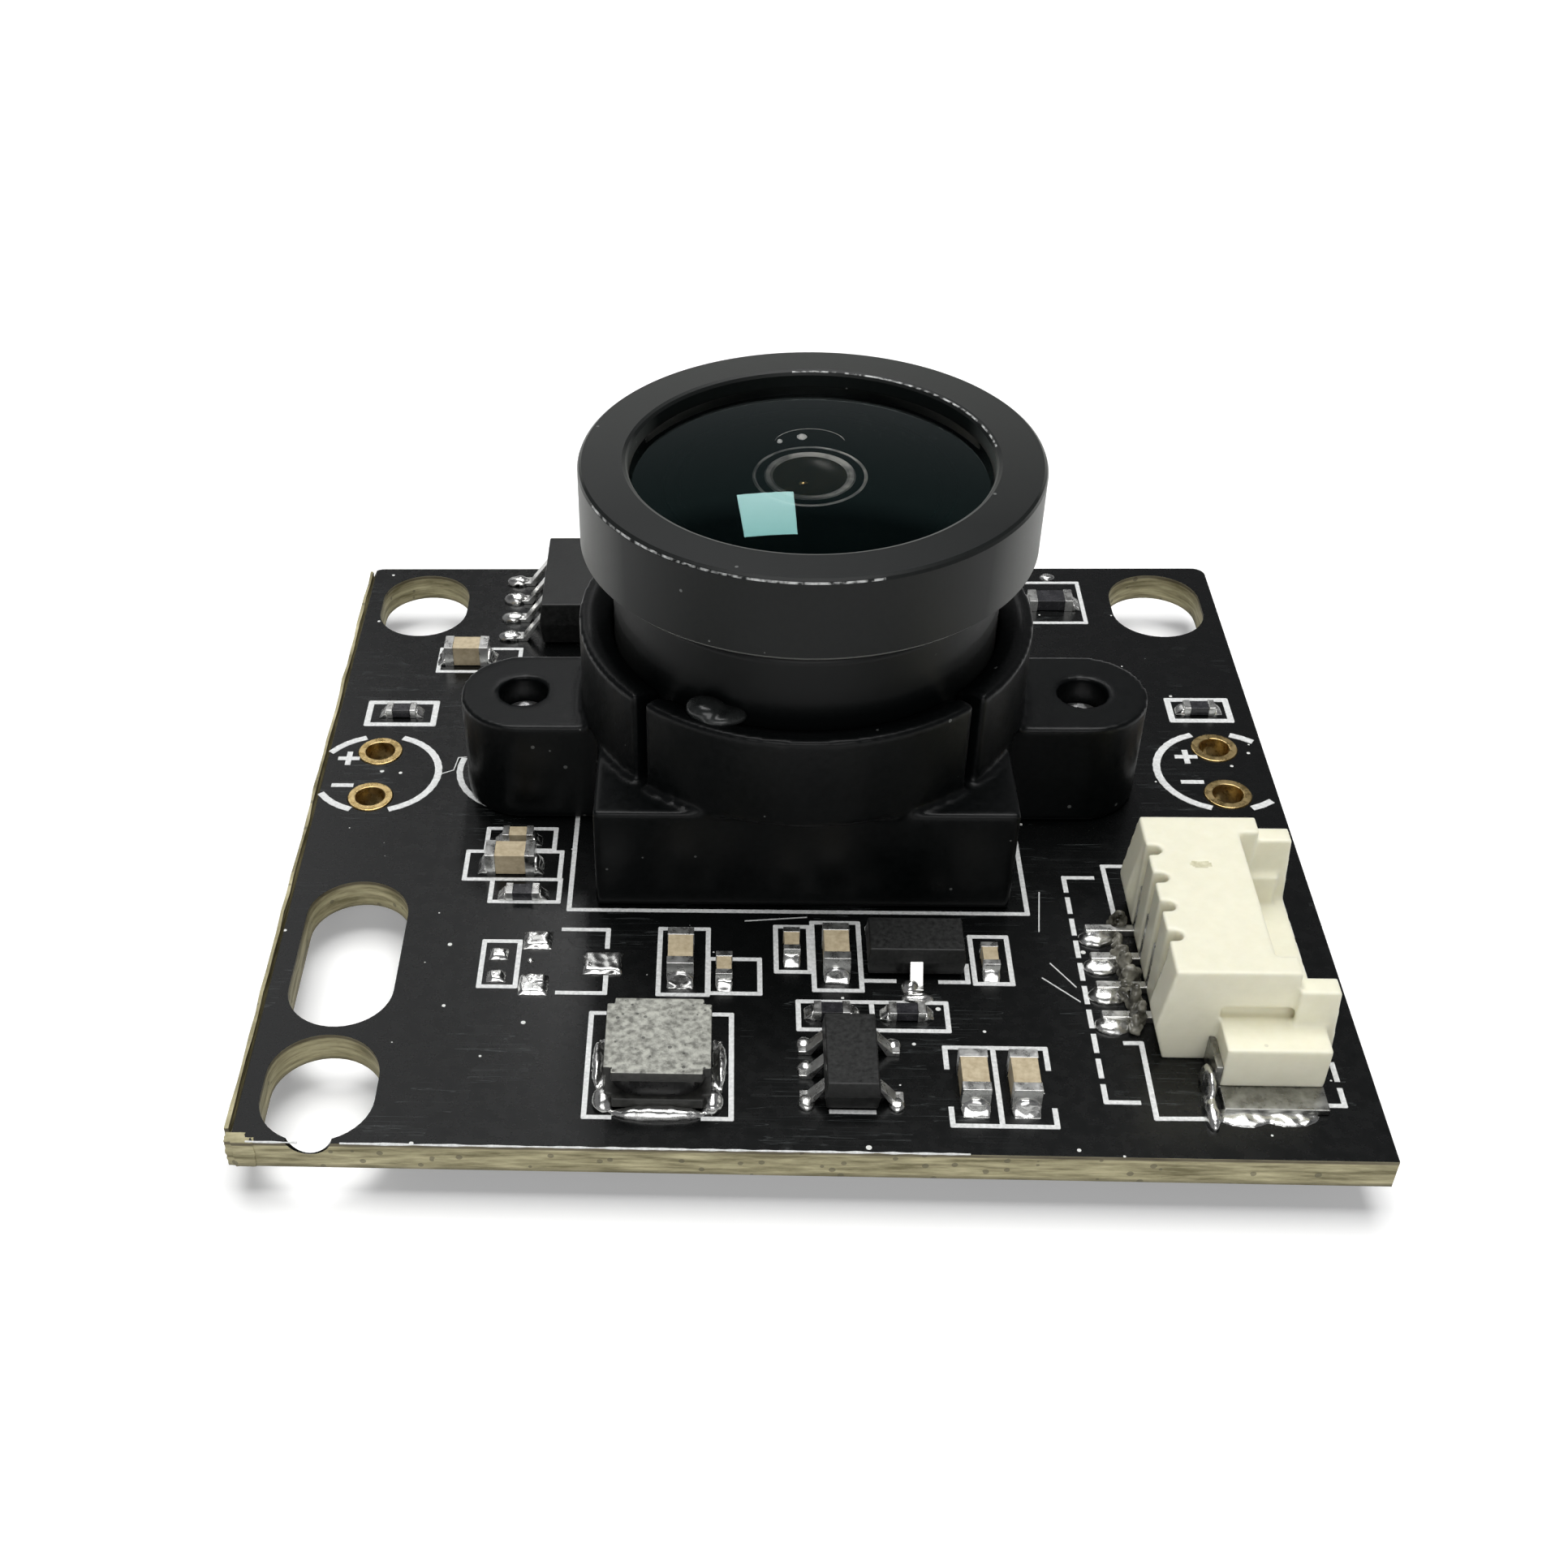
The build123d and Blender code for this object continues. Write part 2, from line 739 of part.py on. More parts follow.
regulator_places = [(0, -90)] + [(spot, 90) for spot in row(2, 2 * small_chip_pitch)]
regulator_leads = bend_leads(
    regulator_plane,
    regulator_places,
    small_chip_width / 2,
    small_chip_span / 2,
    small_exit,
    small_lead_width,
)
regulator_leads.part.label = "regulator_leads"
export_step(regulator_leads.part, "parts/regulator_leads.step")


# A chip part along the plane's X: a body between two metal ends that wrap it
def build_chip(plane, size):
    length, width, height, metal = size
    on_board = (Align.CENTER, Align.CENTER, Align.MIN)
    with BuildPart(plane) as chip:
        with Locations((0, 0, end_wrap)):
            Box(length - metal, width - 2 * end_wrap, height - 2 * end_wrap, align=on_board)
        with GridLocations(length - metal, 1, 2, 1):
            Box(metal, width, height, align=on_board)
    return chip


# Chip parts on the upper face: place, size and turn. Those near the lens are placed from its holder.
middle_y = block_front - regulator_clearance
chip_parts = {
    "output_capacitor": (lens_x - 3.7, middle_y - 0.3, size_0603, 90),
    "filter_capacitor": (lens_x - 2.39, middle_y - 0.71, size_0402, 90),
    "feedback_capacitor": (lens_x - 0.35, middle_y + 0.4, size_0402, 90),
    "regulator_input_capacitor": (lens_x + 0.97, middle_y - 0.02, size_0603, 90),
    "regulator_output_capacitor": (lens_x + 5.55, middle_y - 0.17, size_0402, 90),
    "supply_capacitor_left": (lens_x + 4.61, front_row_y - 0.46, size_0603, 90),
    "supply_capacitor_right": (lens_x + 6.01, front_row_y - 0.46, size_0603, 90),
    "feedback_resistor_left": (lens_x + 0.77, front_row_y + 2.42, resistor_0402, 0),
    "feedback_resistor_right": (lens_x + 2.95, front_row_y + 2.42, resistor_0402, 0),
    "core_capacitor": (block_left - 2.83, ear_front - 2.5, size_0603, 0),
    "core_bypass_capacitor": (block_left - 2.7, ear_front - 1.23, size_0402, 0),
    "pull_up_resistor": (block_left - 2.34, ear_front - 3.92, resistor_0402, 0),
    "led_resistor_left": (left_edge + 2.4, left_eyelet_middle + 3.48, resistor_0402, 0),
    "led_resistor_right": (right_edge - 1.8, right_eyelet_middle + 3.36, resistor_0402, 0),
    "memory_capacitor": (memory_x - 4.55, block_back + 0.8, size_0603, 0),
    "reset_resistor": (block_right + 3.25, block_back + 4.5, resistor_0603, 0),
}

chip_planes = {}
for name, (x, y, size, turn) in chip_parts.items():
    chip_planes[name] = Plane((x, y, board_top)).rotated((0, 0, turn))
    chip = build_chip(chip_planes[name], size)
    chip.part.label = name
    export_step(chip.part, f"parts/{name}.step")

# Power inductor: a ferrite drum with notched flanges, coated coil and two terminals
inductor_plane = Plane((inductor_x, front_row_y, board_top))
drum_foot = terminal_thickness
coil_height = inductor_height - drum_foot - 2 * flange_thickness

with BuildPart() as inductor_core:
    for foot in (drum_foot, inductor_height - flange_thickness):
        with BuildSketch(inductor_plane.offset(foot)):
            Rectangle(inductor_side, inductor_side)
            with GridLocations(inductor_side, inductor_side, 2, 2):
                Rectangle(2 * flange_notch, 2 * flange_notch, mode=Mode.SUBTRACT)
        extrude(amount=flange_thickness)
    with BuildSketch(inductor_plane.offset(drum_foot)):
        Circle(post_radius)
    extrude(amount=inductor_height - drum_foot)

inductor_core.part.label = "inductor_core"
export_step(inductor_core.part, "parts/inductor_core.step")

coil_side = inductor_side - 2 * coil_inset
with BuildPart() as inductor_coil:
    with BuildSketch(inductor_plane.offset(drum_foot + flange_thickness)):
        RectangleRounded(coil_side, coil_side, coil_corner_radius)
        Circle(post_radius, mode=Mode.SUBTRACT)
    extrude(amount=coil_height)

inductor_coil.part.label = "inductor_coil"
export_step(inductor_coil.part, "parts/inductor_coil.step")

terminal_length = inductor_side - 2 * flange_notch
terminal_spacing = inductor_side - terminal_width
with BuildPart() as inductor_terminals:
    with BuildSketch(inductor_plane):
        with GridLocations(terminal_spacing, 1, 2, 1):
            Rectangle(terminal_width, terminal_length)
    extrude(amount=terminal_thickness)

inductor_terminals.part.label = "inductor_terminals"
export_step(inductor_terminals.part, "parts/inductor_terminals.step")

# Solder wedge from a pad up the end of the part that it holds, on the plane's +X side
def solder_wedge(plane, reach, width, rise):
    with BuildPart() as wedge:
        with BuildSketch(plane * Plane.XZ):
            with BuildLine():
                Polyline((reach, 0), (reach + fillet_length, 0), (reach, rise), close=True)
            make_face()
        extrude(amount=width / 2, both=True)
    return wedge.part


# Solder at both ends of each chip part and along the inductor's terminals
wedges = []
for end in (0, 180):
    for name, (x, y, size, turn) in chip_parts.items():
        length, width, height, metal = size
        wedges.append(
            solder_wedge(chip_planes[name].rotated((0, 0, end)), length / 2, width, fillet_rise)
        )
    wedges.append(
        solder_wedge(
            inductor_plane.rotated((0, 0, end)), inductor_side / 2, terminal_length, terminal_thickness
        )
    )
with BuildPart() as solder_joints:
    add(wedges)

solder_joints.part.label = "solder_joints"
export_step(solder_joints.part, "parts/solder_joints.step")

# Low solder on the bare pads of a small chip and a resistor that are not fitted
bare_pads = [
    ((block_left - 1.7, middle_y + 0.7), (0.9, 0.8)),
    ((block_left - 1.71, middle_y - 1.3), (0.95, 0.95)),
    ((block_left + 0.35, middle_y - 0.32), (1.25, 1.0)),
    ((block_left - 2.85, middle_y + 0.05), (0.6, 0.52)),
    ((block_left - 2.85, middle_y - 0.95), (0.6, 0.55)),
]
bare_solder_height = 0.16
bare_solder_draft = 40.0
with BuildPart() as bare_pad_solder:
    for place, (length, width) in bare_pads:
        with BuildSketch(Plane((*place, board_top))):
            Rectangle(length, width)
        extrude(amount=bare_solder_height, taper=bare_solder_draft)

bare_pad_solder.part.label = "bare_pad_solder"
export_step(bare_pad_solder.part, "parts/bare_pad_solder.step")

# Below the board: controller chip, a leadless package with a moulded cover on a flat base
controller_y = block_front - controller_clearance - controller_side / 2
controller_plane = Plane((controller_x, controller_y, board_bottom), x_dir=(1, 0, 0), z_dir=(0, 0, -1))
controller_cover_side = controller_side - 2 * controller_cover_inset
with BuildPart() as controller_chip:
    with BuildSketch(controller_plane):
        Rectangle(controller_side, controller_side)
    extrude(amount=controller_base_thickness)
    with BuildSketch(controller_plane.offset(controller_base_thickness)):
        Rectangle(controller_cover_side, controller_cover_side)
    extrude(amount=underside_height - controller_base_thickness, taper=mould_draft)

controller_chip.part.label = "controller_chip"
export_step(controller_chip.part, "parts/controller_chip.step")

# Clock crystal: ceramic base with a metal lid
crystal_y = block_back + crystal_width / 2 + crystal_clearance
crystal_plane = Plane((crystal_x, crystal_y, board_bottom), x_dir=(1, 0, 0), z_dir=(0, 0, -1))
with BuildPart() as clock_crystal:
    with BuildSketch(crystal_plane):
        Rectangle(crystal_length, crystal_width)
    extrude(amount=crystal_base_thickness)
    with BuildSketch(crystal_plane.offset(crystal_base_thickness)):
        Rectangle(crystal_length - 2 * crystal_cover_inset, crystal_width - 2 * crystal_cover_inset)
    extrude(amount=underside_height - crystal_base_thickness)

clock_crystal.part.label = "clock_crystal"
export_step(clock_crystal.part, "parts/clock_crystal.step")

# Bypass capacitors below the board, round the sensor
bypass_places = [(-5.75, 4.7), (-5.75, 1.7), (5.75, 4.7), (5.75, 1.7), (-8.75, -8.5), (8.75, -8.5)]
bypass_plane = Plane((lens_x, lens_y, board_bottom), x_dir=(0, 1, 0), z_dir=(0, 0, -1))
bypass_capacitor = build_chip(Plane.XY, size_0603)
with BuildPart() as bypass_capacitors:
    with Locations(*[bypass_plane.location * Pos(y, x) for x, y in bypass_places]):
        add(bypass_capacitor.part)

bypass_capacitors.part.label = "bypass_capacitors"
export_step(bypass_capacitors.part, "parts/bypass_capacitors.step")
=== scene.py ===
import math
import random

import bpy
import bmesh
from mathutils import Matrix, Vector, noise


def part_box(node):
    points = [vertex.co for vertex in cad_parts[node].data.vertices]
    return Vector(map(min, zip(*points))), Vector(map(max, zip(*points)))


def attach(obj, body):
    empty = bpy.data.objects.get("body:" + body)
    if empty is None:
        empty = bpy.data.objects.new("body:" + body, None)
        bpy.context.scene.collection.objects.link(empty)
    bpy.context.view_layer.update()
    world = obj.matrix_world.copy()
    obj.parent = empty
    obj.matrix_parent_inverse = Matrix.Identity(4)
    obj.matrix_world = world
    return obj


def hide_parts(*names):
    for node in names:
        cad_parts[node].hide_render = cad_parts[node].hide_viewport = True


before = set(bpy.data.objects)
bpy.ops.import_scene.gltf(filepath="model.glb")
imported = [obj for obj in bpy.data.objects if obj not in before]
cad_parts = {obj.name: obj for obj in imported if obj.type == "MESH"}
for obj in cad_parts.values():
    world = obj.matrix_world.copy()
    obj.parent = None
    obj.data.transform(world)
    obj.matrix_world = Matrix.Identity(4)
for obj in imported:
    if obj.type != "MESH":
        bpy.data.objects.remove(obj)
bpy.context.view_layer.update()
random.seed(11)
mm = 0.001
print("frame loaded", len(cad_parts), "nodes")

# Where things are, read from the frame
boardLow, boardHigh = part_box("circuit_board")
boardTop = boardHigh[2]
boardBottom = boardLow[2]
barrelLow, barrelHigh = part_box("lens_barrel")
lensX = (barrelLow[0] + barrelHigh[0]) / 2
lensY = (barrelLow[1] + barrelHigh[1]) / 2


# Small helpers for modelling
def selectNone():
    if bpy.context.object and bpy.context.object.mode != "OBJECT":
        bpy.ops.object.mode_set(mode="OBJECT")
    bpy.ops.object.select_all(action="DESELECT")


def makeActive(piece):
    selectNone()
    piece.select_set(True)
    bpy.context.view_layer.objects.active = piece


def applyModifiers(piece):
    makeActive(piece)
    for modifier in list(piece.modifiers):
        bpy.ops.object.modifier_apply(modifier=modifier.name)


def bakePlace(piece):  # puts the object's place into its mesh
    makeActive(piece)
    bpy.ops.object.transform_apply(location=True, rotation=True, scale=True)


def smoothByAngle(piece, degrees=32):
    makeActive(piece)
    bpy.ops.object.shade_smooth_by_angle(angle=math.radians(degrees))


# Copy of a frame node's shape, with its loose triangles joined into clean faces
def takeShape(node, name, flatAngle=1.0):
    piece = bpy.data.objects.new(name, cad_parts[node].data.copy())
    bpy.context.collection.objects.link(piece)
    piece.data.materials.clear()
    makeActive(piece)
    bpy.ops.object.mode_set(mode="EDIT")
    bpy.ops.mesh.select_all(action="SELECT")
    bpy.ops.mesh.remove_doubles(threshold=0.002 * mm)
    bpy.ops.mesh.dissolve_limited(angle_limit=math.radians(flatAngle))
    bpy.ops.object.mode_set(mode="OBJECT")
    return piece


def roundEdges(piece, width, segments=2, degrees=32):
    bevel = piece.modifiers.new("roundEdges", "BEVEL")
    bevel.width = width * mm
    bevel.segments = segments
    bevel.limit_method = "ANGLE"
    bevel.angle_limit = math.radians(degrees)
    bevel.miter_outer = "MITER_ARC"
    bevel.harden_normals = True
    smoothByAngle(piece, degrees)
    applyModifiers(piece)
    for face in piece.data.polygons:  # what lies square to an axis stays flat
        if max(abs(face.normal.x), abs(face.normal.y), abs(face.normal.z)) > 0.9998:
            face.use_smooth = False


# Melts a shape into one soft lumpy skin: remeshed at a thousand times its size, smoothed and pushed about
def meltShape(piece, voxel, rounds, lump, lumpScale, seed):
    makeActive(piece)
    piece.scale = (1000, 1000, 1000)
    bpy.ops.object.transform_apply(location=False, rotation=False, scale=True)
    remesh = piece.modifiers.new("oneSkin", "REMESH")
    remesh.mode = "VOXEL"
    remesh.voxel_size = voxel
    soften = piece.modifiers.new("soften", "SMOOTH")
    soften.factor = 0.5
    soften.iterations = rounds
    applyModifiers(piece)
    if lump:
        shift = Vector((seed * 7.3, seed * 3.1, seed * 5.7))
        normals = [vertex.normal.copy() for vertex in piece.data.vertices]
        for vertex, normal in zip(piece.data.vertices, normals):
            vertex.co += normal * lump * noise.noise(vertex.co * lumpScale + shift)
    piece.scale = (mm, mm, mm)
    makeActive(piece)
    bpy.ops.object.transform_apply(location=False, rotation=False, scale=True)
    bpy.ops.object.shade_smooth()


# Rounded lump at a place: x, y, half length, half width, height above the board, in millimetres
def addLump(x, y, across, deep, height):
    selectNone()
    bpy.ops.mesh.primitive_ico_sphere_add(
        subdivisions=3,
        radius=1,
        location=(x * mm, y * mm, boardTop),
        scale=(across * mm, deep * mm, height * mm),
    )
    piece = bpy.context.object
    bakePlace(piece)
    bpy.ops.object.mode_set(mode="EDIT")
    bpy.ops.mesh.select_all(action="SELECT")
    bpy.ops.mesh.bisect(
        plane_co=(0, 0, boardTop - 0.01 * mm), plane_no=(0, 0, 1), clear_inner=True, use_fill=True
    )
    bpy.ops.object.mode_set(mode="OBJECT")
    return piece


def joinPieces(name, pieces):
    selectNone()
    for piece in pieces:
        piece.select_set(True)
    bpy.context.view_layer.objects.active = pieces[0]
    bpy.ops.object.join()
    pieces[0].name = name
    pieces[0].data.name = name
    return pieces[0]


# Boxes of a node's separate bodies, in millimetres, from the part that lies below a height
def footBoxes(node, ceiling):
    shape = bmesh.new()
    shape.from_mesh(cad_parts[node].data)
    bmesh.ops.remove_doubles(shape, verts=shape.verts, dist=0.001 * mm)
    left = set(shape.verts)
    boxes = []
    while left:
        front = [left.pop()]
        found = []
        while front:
            vertex = front.pop()
            found.append(vertex.co / mm)
            for edge in vertex.link_edges:
                other = edge.other_vert(vertex)
                if other in left:
                    left.remove(other)
                    front.append(other)
        low = [point for point in found if point.z < ceiling] or found
        sides = [[point[axis] for point in low] for axis in range(3)]
        boxes.append(tuple((min(side), max(side)) for side in sides))
    shape.free()
    return sorted(boxes)


def pickFaces(piece, material, test):  # gives the faces that pass the test another material
    piece.data.materials.append(material)
    slot = len(piece.data.materials) - 1
    for face in piece.data.polygons:
        if test(face.center, face.normal):
            face.material_index = slot


def finishPiece(piece, slot, *nodes):
    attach(piece, "root")
    if nodes:
        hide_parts(*nodes)


# A turned shape: a ring is extruded through the profile's (radius, height) points, in millimetres
def turnRing(name, centre, profile, sides=96, closed=False):
    radius, height = profile[0]
    selectNone()
    bpy.ops.mesh.primitive_circle_add(
        vertices=sides, radius=radius * mm, location=(centre[0], centre[1], centre[2] + height * mm)
    )
    piece = bpy.context.object
    piece.name = name
    piece.data.name = name
    bakePlace(piece)
    bpy.ops.object.mode_set(mode="EDIT")
    bpy.ops.mesh.select_all(action="SELECT")
    for nextRadius, nextHeight in profile[1:]:
        bpy.ops.mesh.extrude_edges_move(
            TRANSFORM_OT_translate={"value": (0, 0, (nextHeight - height) * mm)}
        )
        ratio = nextRadius / radius
        if abs(ratio - 1) > 1e-6:
            bpy.ops.transform.resize(
                value=(ratio, ratio, 1), center_override=(centre[0], centre[1], centre[2])
            )
        radius, height = nextRadius, nextHeight
    if not closed:
        bpy.ops.mesh.edge_face_add()
    bpy.ops.mesh.select_all(action="DESELECT")
    bpy.ops.object.mode_set(mode="OBJECT")
    shape = bmesh.new()
    shape.from_mesh(piece.data)
    ends = [edge for edge in shape.edges if edge.is_boundary]
    if closed:
        bmesh.ops.bridge_loops(shape, edges=ends)
    else:
        bmesh.ops.contextual_create(shape, geom=ends)
    bmesh.ops.recalc_face_normals(shape, faces=shape.faces)
    shape.to_mesh(piece.data)
    shape.free()
    return piece


# Shader groups, shared by the materials
def newGroup(name, inputs, outputs):
    tree = bpy.data.node_groups.new(name, "ShaderNodeTree")
    for socket, kind, value in inputs:
        made = tree.interface.new_socket(name=socket, in_out="INPUT", socket_type=kind)
        if value is not None:
            made.default_value = value
    for socket, kind in outputs:
        tree.interface.new_socket(name=socket, in_out="OUTPUT", socket_type=kind)
    return tree, tree.nodes.new("NodeGroupInput"), tree.nodes.new("NodeGroupOutput")


def addNode(tree, kind, settings=None, **links):
    node = tree.nodes.new(kind)
    for key, value in (settings or {}).items():
        setattr(node, key, value)
    for key, value in links.items():
        socket = node.inputs[int(key[1:])] if key[1:].isdigit() else node.inputs[key.replace("_", " ")]
        if isinstance(value, bpy.types.NodeSocket):
            tree.links.new(value, socket)
        else:
            socket.default_value = value
    return node


def maths(tree, operation, *values):
    links = {f"i{index}": value for index, value in enumerate(values)}
    return addNode(tree, "ShaderNodeMath", {"operation": operation}, **links).outputs[0]


# Dust: small round specks, a share of the cells of a random grid
speckleGroup, given, result = newGroup(
    "dustSpecks",
    [
        ("Vector", "NodeSocketVector", None),
        ("Scale", "NodeSocketFloat", 1500.0),
        ("Share", "NodeSocketFloat", 0.3),
        ("Size", "NodeSocketFloat", 0.12),
    ],
    [("Mask", "NodeSocketFloat")],
)
cells = addNode(
    speckleGroup, "ShaderNodeTexVoronoi", {}, Vector=given.outputs["Vector"], Scale=given.outputs["Scale"]
)
parts = addNode(speckleGroup, "ShaderNodeSeparateColor", {}, Color=cells.outputs["Color"])
radius = maths(speckleGroup, "MULTIPLY", given.outputs["Size"], parts.outputs[1])
inside = maths(speckleGroup, "LESS_THAN", cells.outputs["Distance"], radius)
chosen = maths(speckleGroup, "LESS_THAN", parts.outputs[0], given.outputs["Share"])
speckleGroup.links.new(maths(speckleGroup, "MULTIPLY", inside, chosen), result.inputs["Mask"])

# Fine scratches: thin bands of a noise that is stretched one way and then the other
scratchGroup, given, result = newGroup(
    "hairScratches",
    [
        ("Vector", "NodeSocketVector", None),
        ("Scale", "NodeSocketFloat", 60.0),
        ("Width", "NodeSocketFloat", 0.006),
    ],
    [("Mask", "NodeSocketFloat")],
)
found = []
for turn, stretch in ((0.5, (1, 22, 1)), (-0.9, (1, 30, 1)), (1.35, (1, 26, 1))):
    placed = addNode(
        scratchGroup,
        "ShaderNodeMapping",
        {},
        Vector=given.outputs["Vector"],
        Rotation=(0, 0, turn),
        Scale=(stretch[0], stretch[1], stretch[2]),
    )
    hairs = addNode(
        scratchGroup,
        "ShaderNodeTexNoise",
        {},
        Vector=placed.outputs[0],
        Scale=given.outputs["Scale"],
        Detail=4.0,
    )
    off = maths(scratchGroup, "ABSOLUTE", maths(scratchGroup, "SUBTRACT", hairs.outputs[0], 0.5))
    found.append(maths(scratchGroup, "LESS_THAN", off, given.outputs["Width"]))
patches = addNode(
    scratchGroup, "ShaderNodeTexNoise", {}, Vector=given.outputs["Vector"], Scale=260.0, Detail=2.0
)
sparse = maths(scratchGroup, "GREATER_THAN", patches.outputs[0], 0.56)
both = maths(scratchGroup, "MAXIMUM", maths(scratchGroup, "MAXIMUM", found[0], found[1]), found[2])
scratchGroup.links.new(maths(scratchGroup, "MULTIPLY", both, sparse), result.inputs["Mask"])

# Grain: a fine even noise, as tone and as height
grainGroup, given, result = newGroup(
    "fineGrain",
    [
        ("Vector", "NodeSocketVector", None),
        ("Scale", "NodeSocketFloat", 6000.0),
        ("Contrast", "NodeSocketFloat", 1.0),
    ],
    [("Tone", "NodeSocketFloat"), ("Height", "NodeSocketFloat")],
)
fine = addNode(
    grainGroup,
    "ShaderNodeTexNoise",
    {},
    Vector=given.outputs["Vector"],
    Scale=given.outputs["Scale"],
    Detail=3.0,
    Roughness=0.6,
)
middle = maths(grainGroup, "SUBTRACT", fine.outputs[0], 0.5)
tone = maths(grainGroup, "ADD", maths(grainGroup, "MULTIPLY", middle, given.outputs["Contrast"]), 0.5)
grainGroup.links.new(tone, result.inputs["Tone"])
grainGroup.links.new(fine.outputs[0], result.inputs["Height"])

# Glass fibres: streaks that run along the board's faces, seen on its cut edges
fibreGroup, given, result = newGroup(
    "glassFibres",
    [("Vector", "NodeSocketVector", None), ("Scale", "NodeSocketFloat", 1500.0)],
    [("Tone", "NodeSocketFloat"), ("Height", "NodeSocketFloat")],
)
layers = addNode(
    fibreGroup, "ShaderNodeMapping", {}, Vector=given.outputs["Vector"], Scale=(0.35, 0.35, 3.2)
)
streaks = addNode(
    fibreGroup,
    "ShaderNodeTexNoise",
    {},
    Vector=layers.outputs[0],
    Scale=given.outputs["Scale"],
    Detail=5.0,
    Roughness=0.65,
)
fibreGroup.links.new(streaks.outputs[0], result.inputs["Tone"])
fibreGroup.links.new(streaks.outputs[0], result.inputs["Height"])


# Materials
def newMaterial(name, **values):
    material = bpy.data.materials.new(name)
    material.use_nodes = True
    tree = material.node_tree
    shader = tree.nodes["Principled BSDF"]
    for key, value in values.items():
        shader.inputs[key.replace("_", " ")].default_value = value
    place = tree.nodes.new("ShaderNodeTexCoord").outputs["Object"]
    return material, tree, shader, place


def useGroup(tree, group, place, **values):
    node = tree.nodes.new("ShaderNodeGroup")
    node.node_tree = group
    tree.links.new(place, node.inputs["Vector"])
    for key, value in values.items():
        node.inputs[key].default_value = value
    return node


def blend(tree, factor, first, second):  # mixes two colours
    node = tree.nodes.new("ShaderNodeMix")
    node.data_type = "RGBA"
    for index, value in ((0, factor), (6, first), (7, second)):
        if isinstance(value, bpy.types.NodeSocket):
            tree.links.new(value, node.inputs[index])
        else:
            node.inputs[index].default_value = value if index == 0 else (*value, 1)
    return node.outputs[2]


def ramp(tree, factor, low, high, start=0.0, end=1.0):
    node = tree.nodes.new("ShaderNodeMapRange")
    tree.links.new(factor, node.inputs[0])
    for index, value in ((1, low), (2, high), (3, start), (4, end)):
        node.inputs[index].default_value = value
    return node.outputs[0]


def feed(tree, shader, socket, value):
    tree.links.new(value, shader.inputs[socket])


def bump(tree, shader, height, strength, distance):
    node = tree.nodes.new("ShaderNodeBump")
    node.inputs["Strength"].default_value = strength
    node.inputs["Distance"].default_value = distance * mm
    tree.links.new(height, node.inputs["Height"])
    tree.links.new(node.outputs[0], shader.inputs["Normal"])


# A material of one grain between two tones; the values go to the shader
def toneMaterial(
    name, dark, light, roughness, scale=4000.0, contrast=1.6, bumpDepth=0.01, spread=0.1, **values
):
    material, tree, shader, place = newMaterial(name, **values)
    grain = useGroup(tree, grainGroup, place, Scale=scale, Contrast=contrast)
    feed(tree, shader, "Base Color", blend(tree, grain.outputs["Tone"], dark, light))
    gloss = ramp(tree, grain.outputs["Tone"], 0, 1, roughness - spread, roughness + spread)
    feed(tree, shader, "Roughness", gloss)
    bump(tree, shader, grain.outputs["Height"], 0.5, bumpDepth)
    return material


# Gloss black solder mask with dust and hair scratches
mask = {"dark": (0.0016, 0.002, 0.002), "dust": (0.8, 0.81, 0.78), "scratch": (0.05, 0.055, 0.055)}
maskMaterial, tree, shader, place = newMaterial("solderMask", Specular_IOR_Level=0.34)
smallDust = useGroup(tree, speckleGroup, place, Scale=1500.0, Share=0.38, Size=0.12)
largeDust = useGroup(tree, speckleGroup, place, Scale=620.0, Share=0.4, Size=0.062)
hairs = useGroup(tree, scratchGroup, place, Scale=55.0, Width=0.0025)
peel = useGroup(tree, grainGroup, place, Scale=2600.0, Contrast=1.0)
colour = blend(tree, maths(tree, "MULTIPLY", hairs.outputs[0], 0.5), mask["dark"], mask["scratch"])
dusty = maths(tree, "MAXIMUM", smallDust.outputs[0], largeDust.outputs[0])
colour = blend(tree, maths(tree, "MULTIPLY", dusty, 0.9), colour, mask["dust"])
feed(tree, shader, "Base Color", colour)
gloss = ramp(tree, peel.outputs["Tone"], 0, 1, 0.2, 0.34)
feed(tree, shader, "Roughness", maths(tree, "ADD", gloss, maths(tree, "MULTIPLY", dusty, 0.4)))
bump(tree, shader, peel.outputs["Height"], 0.25, 0.01)

# Bare glass epoxy of the board's edges and hole walls
laminateMaterial, tree, shader, place = newMaterial("glassEpoxy", Roughness=0.6)
fibres = useGroup(tree, fibreGroup, place, Scale=1500.0)
flecks = useGroup(tree, speckleGroup, place, Scale=3600.0, Share=0.35, Size=0.35)
colour = blend(tree, ramp(tree, fibres.outputs["Tone"], 0.35, 0.68), (0.15, 0.13, 0.055), (0.55, 0.5, 0.3))
colour = blend(tree, maths(tree, "MULTIPLY", flecks.outputs[0], 0.6), colour, (0.08, 0.07, 0.04))
level = addNode(tree, "ShaderNodeSeparateXYZ", {}, Vector=place).outputs[2]
under = ramp(tree, level, 1.36 * mm, 1.24 * mm)
over = ramp(tree, level, 2.05 * mm, 2.1 * mm)
over = maths(tree, "MULTIPLY", over, ramp(tree, level, 2.2 * mm, 2.17 * mm))
colour = blend(tree, maths(tree, "MULTIPLY", under, 0.6), colour, (0.07, 0.06, 0.03))
colour = blend(tree, maths(tree, "MULTIPLY", over, 0.75), colour, (0.035, 0.022, 0.01))
feed(tree, shader, "Base Color", colour)
bump(tree, shader, fibres.outputs["Height"], 0.8, 0.03)

